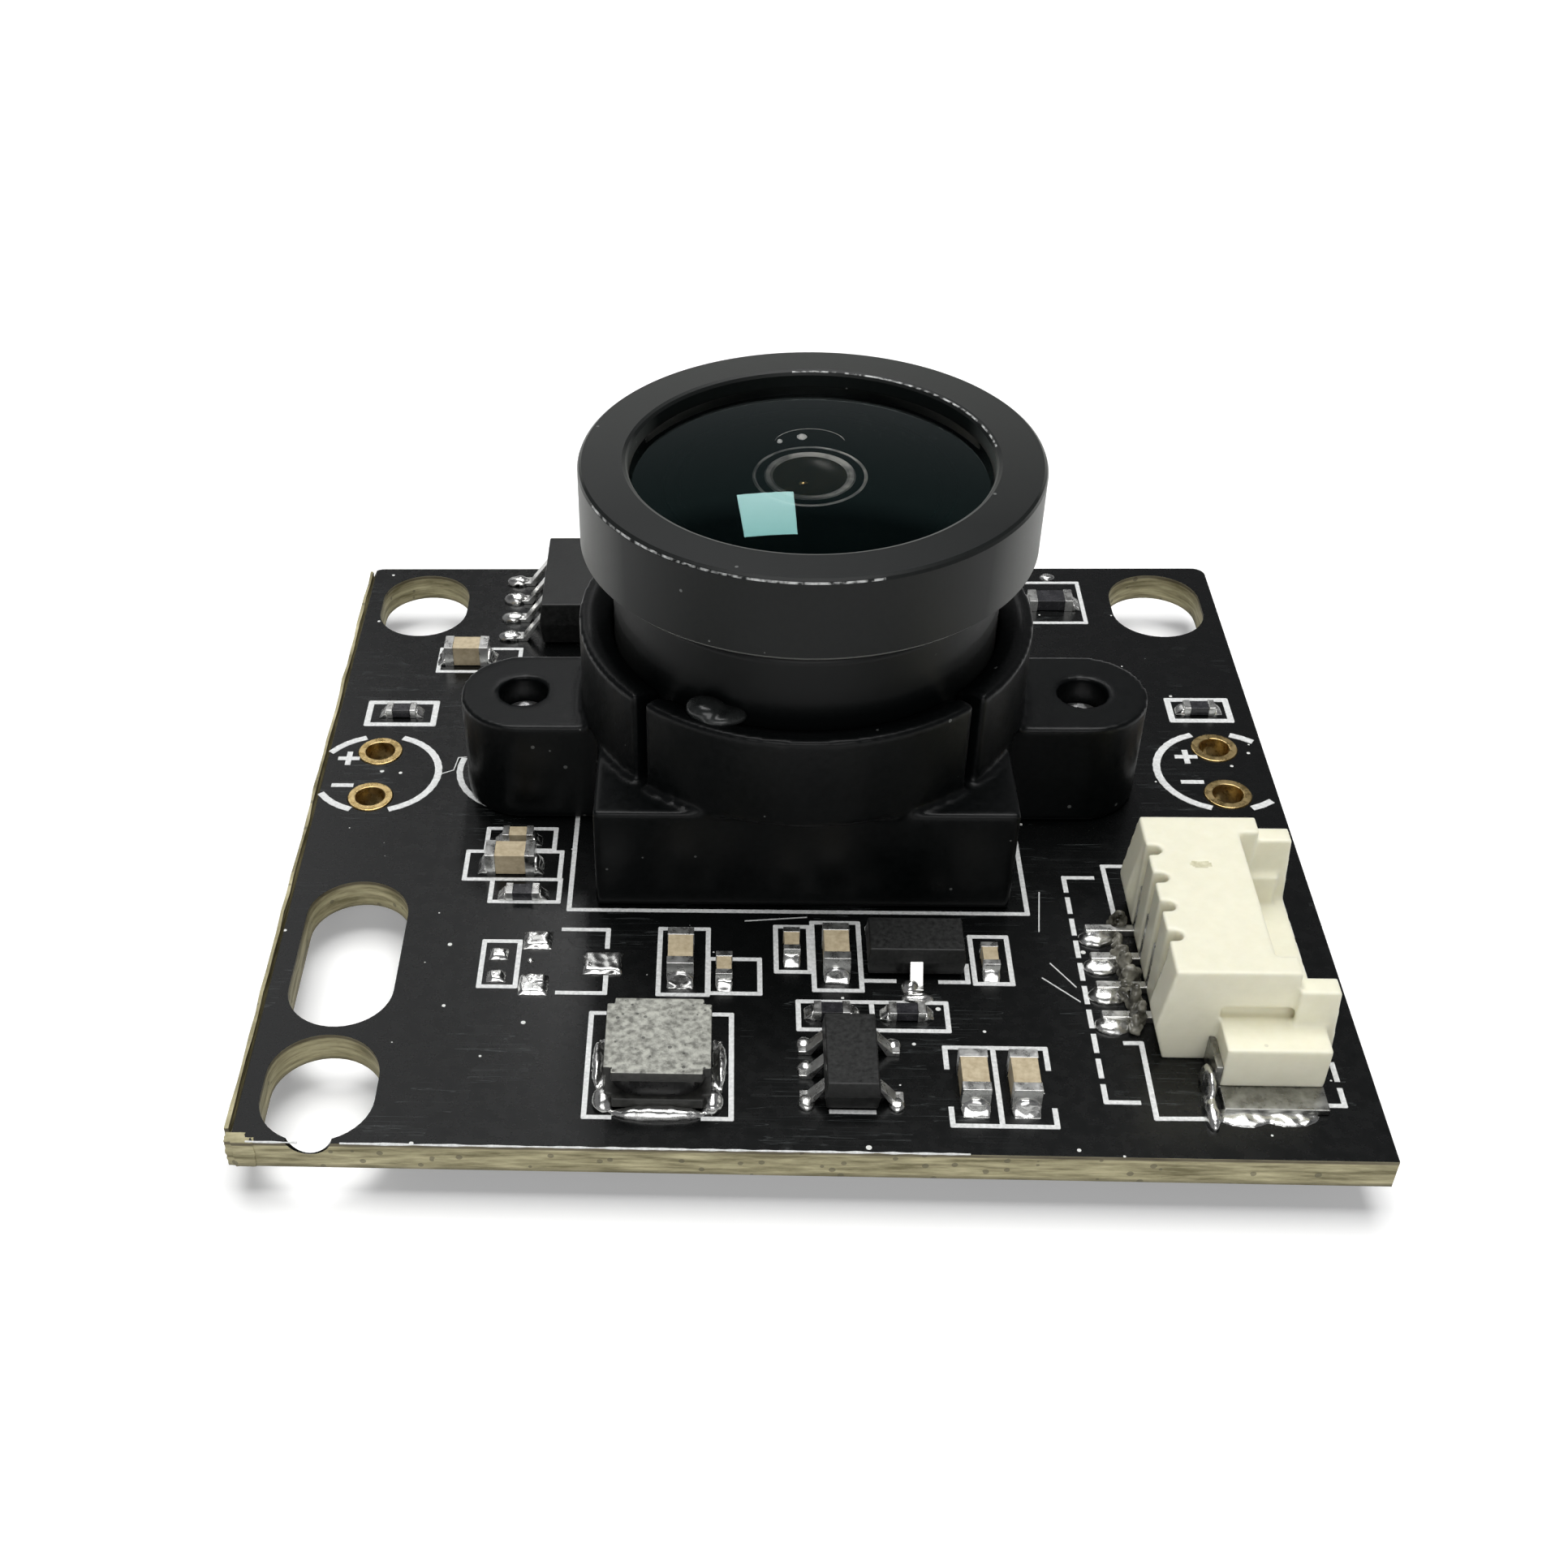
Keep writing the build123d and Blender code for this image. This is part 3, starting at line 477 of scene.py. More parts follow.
# Silk ink; its pale colour also paints the highlight on the front edge and the glints in the inner glass
silkAndGlintMaterial = toneMaterial("silkInk", (0.55, 0.56, 0.55), (0.86, 0.87, 0.86), 0.55, 9000.0, 2.2)
holderMaterial, tree, shader, place = newMaterial("holderPlastic", Specular_IOR_Level=0.2)
mould = useGroup(tree, grainGroup, place, Scale=5200.0, Contrast=1.2)
dust = useGroup(tree, speckleGroup, place, Scale=1900.0, Share=0.25, Size=0.13)
colour = blend(tree, mould.outputs["Tone"], (0.0006, 0.0009, 0.001), (0.003, 0.0038, 0.004))
colour = blend(tree, maths(tree, "MULTIPLY", dust.outputs[0], 0.4), colour, (0.25, 0.26, 0.25))
feed(tree, shader, "Base Color", colour)
feed(tree, shader, "Roughness", ramp(tree, mould.outputs["Tone"], 0, 1, 0.26, 0.42))
bump(tree, shader, mould.outputs["Height"], 0.5, 0.012)

anodisedMaterial, tree, shader, place = newMaterial("blackAnodised", Specular_IOR_Level=0.26)
grain = useGroup(tree, grainGroup, place, Scale=7000.0, Contrast=1.0)
flecks = useGroup(tree, speckleGroup, place, Scale=2600.0, Share=0.1, Size=0.16)
colour = blend(tree, grain.outputs["Tone"], (0.0035, 0.0045, 0.0043), (0.0085, 0.0098, 0.0094))
colour = blend(tree, maths(tree, "MULTIPLY", flecks.outputs[0], 0.4), colour, (0.35, 0.36, 0.35))
centred = addNode(tree, "ShaderNodeMapping", {}, Vector=place, Location=(-lensX, -lensY, 0)).outputs[0]
axes = addNode(tree, "ShaderNodeSeparateXYZ", {}, Vector=centred).outputs
radial = maths(
    tree, "SQRT", maths(tree, "ADD", maths(tree, "POWER", axes[0], 2.0), maths(tree, "POWER", axes[1], 2.0))
)
compass = maths(tree, "ARCTAN2", axes[1], axes[0])
# Bright bands on the head's rim: the outer one is chipped coating and partly a painted highlight, the inner
# one on the bore's lip is a painted glint
rimSpeckle = addNode(tree, "ShaderNodeTexNoise", {}, Vector=centred, Scale=4200.0, Detail=5.0).outputs[0]
rimWearAndGlints = {  # radius from, to, height from, angle from, to, share
    "outer": (6.866, 6.95, 14.195, -2.75, -1.3, 0.4),
    "inner": (5.47, 5.52, 14.24, 0.1, 1.65, 0.42),
}
bright = None
for inside, outside, above, first, last, share in rimWearAndGlints.values():
    part = maths(tree, "GREATER_THAN", radial, inside * mm)
    part = maths(tree, "MULTIPLY", part, maths(tree, "LESS_THAN", radial, outside * mm))
    part = maths(tree, "MULTIPLY", part, maths(tree, "GREATER_THAN", axes[2], above * mm))
    part = maths(tree, "MULTIPLY", part, maths(tree, "GREATER_THAN", compass, first))
    part = maths(tree, "MULTIPLY", part, maths(tree, "LESS_THAN", compass, last))
    part = maths(tree, "MULTIPLY", part, ramp(tree, rimSpeckle, share, share + 0.2))
    bright = part if bright is None else maths(tree, "MAXIMUM", bright, part)
# Painted sheen: the head's sides turn lighter towards their outline, where they are seen at a grazing angle
grazingSheen = addNode(tree, "ShaderNodeLayerWeight", {}, Blend=0.5).outputs["Facing"]
colour = blend(tree, ramp(tree, grazingSheen, 0.5, 1.0, 0.0, 1.0), colour, (0.24, 0.245, 0.23))
# Painted shade: below the head the barrel is darkened almost to black, where the head's shadow falls
neckShade = ramp(tree, axes[2], 11.75 * mm, 11.6 * mm)
colour = blend(tree, maths(tree, "MULTIPLY", neckShade, 0.85), colour, (0.0012, 0.0018, 0.002))
colour = blend(tree, bright, colour, (0.55, 0.56, 0.55))
feed(tree, shader, "Base Color", colour)
feed(tree, shader, "Roughness", ramp(tree, grain.outputs["Tone"], 0, 1, 0.38, 0.46))
bump(tree, shader, grain.outputs["Height"], 0.2, 0.004)

glassMaterial, tree, shader, place = newMaterial(
    "coatedGlass", Transmission_Weight=1.0, IOR=1.4, Specular_Tint=(0.12, 1.0, 0.93, 1)
)
smear = useGroup(tree, grainGroup, place, Scale=900.0, Contrast=1.0)
feed(tree, shader, "Roughness", ramp(tree, smear.outputs["Tone"], 0.3, 0.9, 0.0, 0.03))
colour = blend(tree, smear.outputs["Tone"], (0.8, 0.82, 0.8), (0.88, 0.9, 0.88))
feed(tree, shader, "Base Color", colour)

# Ring round the small glass with a painted highlight: lighter on one side, darker on the other, in patches
ringHighlightMaterial, tree, shader, place = newMaterial("opticRing", Roughness=0.3)
centred = addNode(tree, "ShaderNodeMapping", {}, Vector=place, Location=(-lensX, -lensY, 0)).outputs[0]
turned = addNode(tree, "ShaderNodeMapping", {}, Vector=centred, Rotation=(0, 0, -0.75)).outputs[0]
side = addNode(tree, "ShaderNodeSeparateXYZ", {}, Vector=turned).outputs[0]
patches = addNode(tree, "ShaderNodeTexNoise", {}, Vector=place, Scale=1500.0, Detail=2.0).outputs[0]
ringHighlight = ramp(tree, side, -0.9 * mm, 1.3 * mm, 0.12, 1.0)
ringHighlight = maths(tree, "MULTIPLY", ringHighlight, ramp(tree, patches, 0.35, 0.6, 0.3, 1.0))
feed(tree, shader, "Base Color", blend(tree, ringHighlight, (0.015, 0.016, 0.016), (0.5, 0.5, 0.47)))

rearGlassMaterial, tree, shader, place = newMaterial("rearGlass", Transmission_Weight=1.0, IOR=1.02)
smear = useGroup(tree, grainGroup, place, Scale=900.0, Contrast=1.0)
feed(tree, shader, "Base Color", blend(tree, smear.outputs["Tone"], (0.9, 0.92, 0.9), (1, 1, 1)))
feed(tree, shader, "Roughness", ramp(tree, smear.outputs["Tone"], 0.3, 0.9, 0.0, 0.02))

blackMaterial = toneMaterial(
    "blackenedMetal", (0.0004, 0.0004, 0.0005), (0.001, 0.001, 0.0012), 0.75, 5000.0, Specular_IOR_Level=0.0
)
# Small inner glass, opaque and nearly black: painted shade for the dark inside seen through it
shadedOpticMaterial = toneMaterial(
    "darkOptic",
    (0.006, 0.005, 0.0025),
    (0.014, 0.01, 0.005),
    0.12,
    900.0,
    1.2,
    0.002,
    0.05,
    Specular_IOR_Level=0.1,
)
screwMaterial = toneMaterial("screwSteel", (0.2, 0.2, 0.2), (0.6, 0.6, 0.6), 0.35, 5000.0, Metallic=1.0)
sensorMaterial = toneMaterial("sensorCeramic", (0.05, 0.05, 0.05), (0.1, 0.1, 0.1), 0.5)
filterTones = ((0.6, 0.85, 0.9), (0.7, 0.95, 1.0))
filterMaterial = toneMaterial(
    "filterGlass", *filterTones, 0.06, 800.0, 1.0, 0.001, 0.04, Transmission_Weight=0.9
)
glueMaterial = toneMaterial("setGlue", (0.004, 0.005, 0.005), (0.035, 0.038, 0.037), 0.24, 1500.0, 1.6, 0.01)
gateMaterial = toneMaterial("gateMark", (0.5, 0.47, 0.3), (0.8, 0.77, 0.58), 0.5, 5000.0, 2.0)
# Darker copy of the tin plate: painted shade of the anchor tabs under the housing
shadedTabMaterial = toneMaterial(
    "dullTin", (0.16, 0.16, 0.15), (0.42, 0.42, 0.4), 0.3, 2500.0, 1.8, 0.01, Metallic=1.0
)
fluxMaterial = toneMaterial("fluxResidue", (0.01, 0.009, 0.004), (0.3, 0.29, 0.24), 0.12, 1800.0, 3.0, 0.02)
ivoryMaterial, tree, shader, place = newMaterial(
    "ivoryNylon", Subsurface_Weight=0.15, Subsurface_Scale=0.0006
)
shader.inputs["Subsurface Radius"].default_value = (1.0, 0.8, 0.5)
mould = useGroup(tree, grainGroup, place, Scale=2400.0, Contrast=1.0)
grime = useGroup(tree, speckleGroup, place, Scale=1500.0, Share=0.1, Size=0.16)
colour = blend(tree, mould.outputs["Tone"], (0.80, 0.775, 0.6), (0.9, 0.875, 0.71))
colour = blend(tree, maths(tree, "MULTIPLY", grime.outputs[0], 0.3), colour, (0.35, 0.33, 0.25))
feed(tree, shader, "Base Color", colour)
feed(tree, shader, "Roughness", ramp(tree, mould.outputs["Tone"], 0, 1, 0.34, 0.5))
bump(tree, shader, mould.outputs["Height"], 0.4, 0.02)

tinMaterial = toneMaterial(
    "tinPlate", (0.5, 0.5, 0.48), (0.82, 0.82, 0.8), 0.3, 3500.0, 2.0, 0.02, Metallic=1.0
)
solderMaterial = toneMaterial(
    "solderMetal", (0.62, 0.62, 0.6), (0.86, 0.86, 0.84), 0.24, 2600.0, 1.6, 0.015, Metallic=1.0
)
epoxyTones = ((0.005, 0.005, 0.005), (0.022, 0.023, 0.022))
epoxyMaterial = toneMaterial("chipEpoxy", *epoxyTones, 0.42, 7000.0, 2.0, 0.012, Specular_IOR_Level=0.35)
ceramicMaterial = toneMaterial(
    "capacitorCeramic", (0.4, 0.32, 0.2), (0.62, 0.53, 0.36), 0.4, 5000.0, 2.0, 0.01
)
resistorMaterial = toneMaterial("resistorGlaze", (0.01, 0.01, 0.012), (0.04, 0.04, 0.045), 0.25, 4000.0)
ferriteMaterial, tree, shader, place = newMaterial("ferrite")
grain = useGroup(tree, grainGroup, place, Scale=5200.0, Contrast=3.4)
pits = useGroup(tree, speckleGroup, place, Scale=5200.0, Share=0.35, Size=0.4)
colour = blend(tree, grain.outputs["Tone"], (0.17, 0.17, 0.15), (0.47, 0.475, 0.42))
colour = blend(tree, maths(tree, "MULTIPLY", pits.outputs[0], 0.75), colour, (0.05, 0.05, 0.045))
feed(tree, shader, "Base Color", colour)
feed(tree, shader, "Roughness", ramp(tree, grain.outputs["Tone"], 0, 1, 0.3, 0.6))
bump(tree, shader, grain.outputs["Height"], 0.6, 0.03)
darkFerriteMaterial = toneMaterial("darkFerrite", (0.008, 0.008, 0.007), (0.05, 0.05, 0.045), 0.5, 5000.0)
resinMaterial = toneMaterial("coilResin", (0.006, 0.006, 0.006), (0.02, 0.02, 0.02), 0.3, 2500.0)
# Gold plate of the eyelets; it also paints the brown gleam in the inner glass
goldAndGleamMaterial = toneMaterial(
    "goldPlate", (0.5, 0.34, 0.12), (0.86, 0.66, 0.33), 0.28, 3500.0, 2.0, 0.02, Metallic=1.0
)
nickelMaterial = toneMaterial(
    "nickelLid", (0.5, 0.5, 0.5), (0.75, 0.75, 0.74), 0.3, 3500.0, 1.5, 0.01, Metallic=1.0
)
print("materials made", len(bpy.data.materials))

# Circuit board: the mask covers its faces and rounds over every edge but the snapped one
laminate = {"edge": 0.035, "snapped": -15.9, "face": 0.99, "rounded": 0.25}
board = takeShape("circuit_board", "boardLaminate")
board.data.materials.append(laminateMaterial)
pickFaces(board, maskMaterial, lambda centre, normal: abs(normal.z) > 0.8)
roundEdges(board, laminate["edge"], 2, 50)


def onRoundedEdge(centre, normal):
    isRound = laminate["rounded"] < abs(normal.z) <= laminate["face"]
    return isRound and centre.x > laminate["snapped"] * mm


pickFaces(board, maskMaterial, onRoundedEdge)
finishPiece(board, "board", "circuit_board")

# Torn glass epoxy along the snapped left edge and at the broken front corner
torn = {
    "left": -16.02,
    "middle": 0.15,
    "length": 29.3,
    "thick": 0.1,
    "proud": 0.012,  # how far the fibres stand above the board
    "corner": ((-15.72, -14.82, 0.28, 0.17), (-15.5, -14.93, 0.3, 0.1)),
    "coarse": 0.05,
    "fine": 0.03,
    "lift": 0.02,
}
halfThickness = (boardTop - boardBottom) / 2
selectNone()
bpy.ops.mesh.primitive_cube_add(
    size=1,
    location=(torn["left"] * mm, torn["middle"] * mm, boardBottom + halfThickness),
    scale=(torn["thick"] * mm, torn["length"] * mm, 2 * halfThickness + torn["proud"] * mm),
)
strips = [bpy.context.object]
for x, y, halfX, halfY in torn["corner"]:
    bpy.ops.mesh.primitive_cube_add(
        size=2,
        location=(x * mm, y * mm, boardBottom + halfThickness + torn["proud"] * mm),
        scale=(halfX * mm, halfY * mm, halfThickness),
    )
    strips.append(bpy.context.object)
tornEdge = joinPieces("tornEdge", strips)
bakePlace(tornEdge)
bpy.ops.object.mode_set(mode="EDIT")
bpy.ops.mesh.select_all(action="SELECT")
bpy.ops.mesh.subdivide(number_cuts=3)
bpy.ops.object.mode_set(mode="OBJECT")
cuts = tornEdge.modifiers.new("cuts", "SUBSURF")
cuts.subdivision_type = "SIMPLE"
cuts.levels = 3
applyModifiers(tornEdge)
for vertex in tornEdge.data.vertices:
    place = vertex.co / mm
    rough = noise.noise(Vector((place.x * 4, place.y * 1.3, place.z * 3)))
    fine = noise.noise(place * 9)
    vertex.co.x += (torn["coarse"] * rough + torn["fine"] * fine) * mm
    vertex.co.z += torn["lift"] * noise.noise(place * 7) * mm
tornEdge.data.materials.append(laminateMaterial)
smoothByAngle(tornEdge, 40)
finishPiece(tornEdge, "board")

# Painted highlight along the top of the front edge: a thin pale rod that stands for the light caught on the
# mask's edge
edgeGlint = {"runs": ((-15.4, -13.95), (-12.75, 4.6)), "radius": 0.03, "y": -14.985, "sunk": 0.005}
selectNone()
edgeGlints = []
for start, stop in edgeGlint["runs"]:
    bpy.ops.mesh.primitive_cylinder_add(
        vertices=10,
        radius=edgeGlint["radius"] * mm,
        depth=(stop - start) * mm,
        location=((start + stop) / 2 * mm, edgeGlint["y"] * mm, boardTop - edgeGlint["sunk"] * mm),
        rotation=(0, math.pi / 2, 0),
    )
    edgeGlints.append(bpy.context.object)
frontLip = joinPieces("frontLip", edgeGlints)
bakePlace(frontLip)
meltShape(frontLip, 0.018, 1, 0.022, 2.5, 4)
frontLip.data.materials.append(silkAndGlintMaterial)
finishPiece(frontLip, "board")
print("board done", len(tornEdge.data.polygons))

# Printed marks
silk = {
    "width": 0.15,
    "bold": 0.21,
    "mark": 0.19,
    "hair": 0.035,
    "rise": 0.012,
    "stagger": 0.0006,  # strokes that cross differ in height, so they don't share a face
    "levels": 17,
}
silkBoxes = {  # x from, x to, y from, y to, in millimetres
    "output": (-4.1, -2.63, -8.88, -5.95),
    "filter": (-2.61, -1.07, -8.8, -7.3),
    "feedback": (-0.57, 0.44, -7.83, -5.8),
    "regulatorIn": (0.55, 1.96, -8.62, -5.6),
    "regulatorOut": (5.32, 6.42, -8.26, -6.17),
    "core": (-10.45, -7.4, -3.67, -2.28),
    "coreBypass": (-9.89, -7.67, -2.2, -1.1),
    "pullUp": (-9.53, -7.36, -4.75, -3.67),
    "memory": (-12.64, -9.7, 7.95, 9.43),
    "converter": (0.05, 4.38, -10.27, -9.1),
    "ledLeft": (-14.79, -12.44, 4.68, 6.0),
    "ledRight": (13.25, 15.24, 5.08, 6.31),
    "reset": (8.9, 11.1, 11.2, 13.95),
    "bareChip": (-9.5, -8.4, -8.62, -6.6),
}
silkLines = [
    ((-7.0, -5.1), (7.19, -5.1)),
    ((-7.0, -5.1), (-7.0, 0.2)),
    ((-7.0, 0.1), (-7.8, 0.0)),
    ((7.19, -5.1), (7.19, -0.6)),
    ((4.2, -10.93), (7.05, -10.93)),
    ((4.2, -13.95), (7.05, -13.95)),
    ((4.2, -10.93), (4.2, -11.75)),
    ((4.2, -13.3), (4.2, -13.95)),
    ((7.05, -10.93), (7.05, -11.75)),
    ((7.05, -13.3), (7.05, -13.95)),
    ((5.56, -10.93), (5.56, -13.95)),
    ((2.2, -10.27), (2.2, -9.1)),
    ((-6.03, -9.7), (-1.91, -9.7)),
    ((-6.03, -9.7), (-6.03, -13.85)),
    ((-1.91, -9.7), (-1.91, -13.85)),
    ((-6.03, -13.85), (-5.3, -13.85)),
    ((-2.7, -13.85), (-1.91, -13.85)),
    ((0.87, -13.5), (2.07, -13.5)),
    ((2.09, -8.18), (2.94, -8.18)),
    ((4.28, -8.2), (5.11, -8.2)),
    ((5.11, -8.2), (5.11, -7.45)),
    ((-7.11, -6.03), (-5.71, -6.03)),
    ((-5.71, -6.03), (-5.71, -6.84)),
    ((-7.12, -8.86), (-5.69, -8.86)),
    ((-5.69, -8.86), (-5.69, -8.14)),
    ((9.78, -2.78), (10.67, -2.78)),
    ((9.78, -2.78), (9.82, -5.37)),
    ((9.35, -10.66), (9.81, -10.65)),
    ((9.81, -10.65), (9.79, -13.57)),
    ((9.79, -13.57), (11.04, -13.55)),
]
silkDashes = [  # from, to, dash length, gap
    ((8.5, -3.35), (8.5, -12.98), 0.66, 0.34),
    ((15.0, -3.35), (15.0, -12.98), 0.66, 0.34),
    ((8.5, -3.35), (9.4, -3.35), 0.9, 0.3),
    ((8.5, -12.98), (9.4, -12.98), 0.9, 0.3),
    ((14.2, -12.98), (15.0, -12.98), 0.8, 0.3),
]
ledRings = {"radius": 2.1, "line": 0.24, "gap": 20, "left": (-14.02, 1.87), "right": (14.38, 2.24)}
ledMarks = {"plus": ((-15.12, 2.68), (13.36, 3.01)), "minus": ((-15.12, 1.17), (13.34, 1.62)), "size": 0.62}
hairLines = [  # fine pale scratches and a fluff hair on the mask
    ((7.31, -7.97), (8.3, -8.97)),
    ((7.62, -7.33), (8.26, -8.35)),
    ((7.87, 0.39), (9.16, -0.03)),
    ((9.16, -0.03), (10.48, 0.37)),
    ((-11.89, 1.8), (-11.41, 2.06)),
    ((-11.41, 2.06), (-11.32, 2.76)),
    ((-11.32, 2.76), (-10.99, 2.8)),
    ((7.66, -4.07), (7.45, -5.9)),
    ((-1.5, -5.55), (0.4, -5.35)),
]
earArc = {"centre": (-9.0, 2.1), "radius": 2.2, "angles": (165, 240)}
strokes = []


def printStroke(start, end, width):
    start, end = Vector(start), Vector(end)
    middle = (start + end) / 2
    run = end - start
    thick = (silk["rise"] + silk["stagger"] * (len(strokes) % silk["levels"])) * 2
    bpy.ops.mesh.primitive_cube_add(
        size=1,
        location=(middle.x * mm, middle.y * mm, boardTop),
        rotation=(0, 0, math.atan2(run.y, run.x)),
        scale=((run.length + width * 0.7) * mm, width * mm, thick * mm),
    )
    strokes.append(bpy.context.object)


def printArc(centre, radius, fromAngle, toAngle, width, steps=16):
    for index in range(steps):
        ends = [
            math.radians(fromAngle + (toAngle - fromAngle) * share / steps) for share in (index, index + 1)
        ]
        points = [
            (centre[0] + radius * math.cos(angle), centre[1] + radius * math.sin(angle)) for angle in ends
        ]
        if all(abs(point[0]) < 15.85 for point in points):
            printStroke(points[0], points[1], width)


selectNone()
for name, (left, right, front, back) in silkBoxes.items():
    corners = [(left, front), (right, front), (right, back), (left, back)]
    for index in range(4):
        width = silk["bold"] if name in ("ledLeft", "ledRight") else silk["width"]
        printStroke(corners[index], corners[(index + 1) % 4], width)
for start, end in silkLines:
    printStroke(start, end, silk["width"])
for start, end, dash, gap in silkDashes:
    start, end = Vector(start), Vector(end)
    along = (end - start).normalized()
    done = 0.0
    while done < (end - start).length - 0.2:
        stop = min(done + dash, (end - start).length)
        printStroke(start + along * done, start + along * stop, silk["width"])
        done += dash + gap
for side in ("left", "right"):
    for fromAngle in (90 + ledRings["gap"], -90 + ledRings["gap"]):
        printArc(
            ledRings[side],
            ledRings["radius"],
            fromAngle,
            fromAngle + 180 - 2 * ledRings["gap"],
            ledRings["line"],
        )
printArc(earArc["centre"], earArc["radius"], *earArc["angles"], silk["bold"], 8)
for x, y in ledMarks["plus"] + ledMarks["minus"]:
    printStroke((x - ledMarks["size"] / 2, y), (x + ledMarks["size"] / 2, y), silk["mark"])
for x, y in ledMarks["plus"]:
    printStroke((x, y - ledMarks["size"] / 2), (x, y + ledMarks["size"] / 2), silk["mark"])
for start, end in hairLines:
    printStroke(start, end, silk["hair"])
silkPrint = joinPieces("silkscreenPrint", strokes)
bakePlace(silkPrint)
silkPrint.data.materials.append(silkAndGlintMaterial)
finishPiece(silkPrint, "board")
print("print done", len(silkPrint.data.polygons))

# Shapes of the frame with softened edges
softShapes = {  # node: (material, slot, edge radius)
    "holder_screws": (screwMaterial, "screw_steel", 0.03),
    "rear_element": (glassMaterial, "lens_glass", 0.0),
    "aperture_stop": (blackMaterial, "blackened_metal", 0.0),
    "ir_cut_filter": (filterMaterial, "filter_glass", 0.0),
    "sensor_cover_glass": (filterMaterial, "filter_glass", 0.0),
    "image_sensor": (sensorMaterial, "sensor_ceramic", 0.0),
    "connector_contacts": (tinMaterial, "tinned_metal", 0.03),
    "connector_anchor_tabs": (shadedTabMaterial, "tinned_metal", 0.03),
    "led_eyelets": (goldAndGleamMaterial, "gold_plate", 0.03),
    "memory_chip": (epoxyMaterial, "chip_epoxy", 0.05),
    "converter_chip": (epoxyMaterial, "chip_epoxy", 0.04),
    "regulator_chip": (epoxyMaterial, "chip_epoxy", 0.04),
    "controller_chip": (epoxyMaterial, "chip_epoxy", 0.05),
    "memory_chip_leads": (tinMaterial, "tinned_metal", 0.02),
    "converter_leads": (tinMaterial, "tinned_metal", 0.02),
    "regulator_leads": (tinMaterial, "tinned_metal", 0.02),
    "inductor_core": (ferriteMaterial, "ferrite", 0.05),
    "inductor_coil": (resinMaterial, "coil_resin", 0.03),
    "inductor_terminals": (tinMaterial, "tinned_metal", 0.02),
    "clock_crystal": (nickelMaterial, "crystal_metal", 0.05),
}
topPlate = 3.6  # height of the inductor's speckled top; what lies lower is dark
for node, (material, slot, radius) in softShapes.items():
    piece = takeShape(node, node.title().replace("_", "") + "Dressed")
    piece.data.materials.append(material)
    if node == "inductor_core":
        pickFaces(
            piece, darkFerriteMaterial, lambda centre, normal: normal.z < 0.5 or centre.z < topPlate * mm
        )
    if radius:
        roundEdges(piece, radius)
    else:
        smoothByAngle(piece, 30)
    finishPiece(piece, slot, node)
moulded = {"holder": (0.115, 2), "housing": (0.062, 5)}  # grain of the skin in mm, rounds of softening
holder = takeShape("lens_holder", "lensHolder")
meltShape(holder, *moulded["holder"], 0.0, 1.0, 1)
holder.data.materials.append(holderMaterial)
finishPiece(holder, "holder_plastic", "lens_holder")
housing = takeShape("connector_housing", "connectorHousing")
meltShape(housing, *moulded["housing"], 0.0, 1.0, 1)
housing.data.materials.append(ivoryMaterial)
gate = {"x": 11.64, "y": -6.62, "halfX": 0.32, "halfY": 0.17, "depth": 0.04, "reach": 0.2}
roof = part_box("connector_housing")[1][2]


def offGate(point):  # 0 in the middle of the mould's gate mark, 1 at its rim
    across = (point.x / mm - gate["x"]) / gate["halfX"]
    deep = (point.y / mm - gate["y"]) / gate["halfY"]
    return math.hypot(across, deep)


def onGate(point):
    return point.z > roof - gate["reach"] * mm and offGate(point) < 1


for vertex in housing.data.vertices:
    if onGate(vertex.co):
        vertex.co.z -= gate["depth"] * (1 - offGate(vertex.co) ** 2) * mm
pickFaces(housing, gateMaterial, lambda centre, normal: onGate(centre) and normal.z > 0.3)
finishPiece(housing, "connector_plastic", "connector_housing")
print("softened shapes done", len(holder.data.polygons), len(housing.data.polygons))

# Chip capacitors and resistors
chip = {"metal": 0.3, "smallMetal": 0.2, "small": 0.6, "margin": 1.1, "edge": 0.045}
chipNodes = [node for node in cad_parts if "capacitor" in node or "resistor" in node]
for node in chipNodes:
    isCapacitor = "capacitor" in node
    piece = takeShape(node, node.title().replace("_", "") + "Dressed")
    piece.data.materials.append(ceramicMaterial if isCapacitor else resistorMaterial)
    if node != "bypass_capacitors":
        low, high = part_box(node)
        along = 0 if high[0] - low[0] > high[1] - low[1] else 1
        middle = (low[along] + high[along]) / 2
        half = (high[along] - low[along]) / 2
        metal = (chip["smallMetal"] if half < chip["small"] * mm else chip["metal"]) * mm
        inner = half - metal * chip["margin"]
        pickFaces(piece, tinMaterial, lambda centre, normal: abs(centre[along] - middle) > inner)
    roundEdges(piece, chip["edge"], 3)
    finishPiece(piece, "capacitor_ceramic" if isCapacitor else "resistor_ceramic", node)
print("chip parts done", len(chipNodes))

# Lens barrel, turned: threads, clamping groove, wide head and the stepped bore
barrel = {
    "thread": {"from": 8.6, "to": 10.9, "pitch": 0.5, "outer": 5.95, "depth": 0.07},
    "groove": [(5.45, 11.08), (5.45, 11.68)],
    "head": [(6.75, 11.68), (6.9, 11.83), (6.9, 14.18), (6.86, 14.27), (6.78, 14.33)],
    "mouth": [(5.58, 14.33), (5.48, 14.29), (5.42, 14.2), (5.42, 12.77), (4.3, 12.77), (4.3, 11.4)],
    "rear": [(2.6, 11.4), (2.6, 10.3), (3.5, 10.3), (3.5, 5.1)],
}
thread = barrel["thread"]
profile = [(thread["outer"], 5.1), (thread["outer"], thread["from"])]
height = thread["from"]
while height < thread["to"]:
    profile.append((thread["outer"] - thread["depth"], height + thread["pitch"] / 2))
    profile.append((thread["outer"], height + thread["pitch"]))
    height += thread["pitch"]
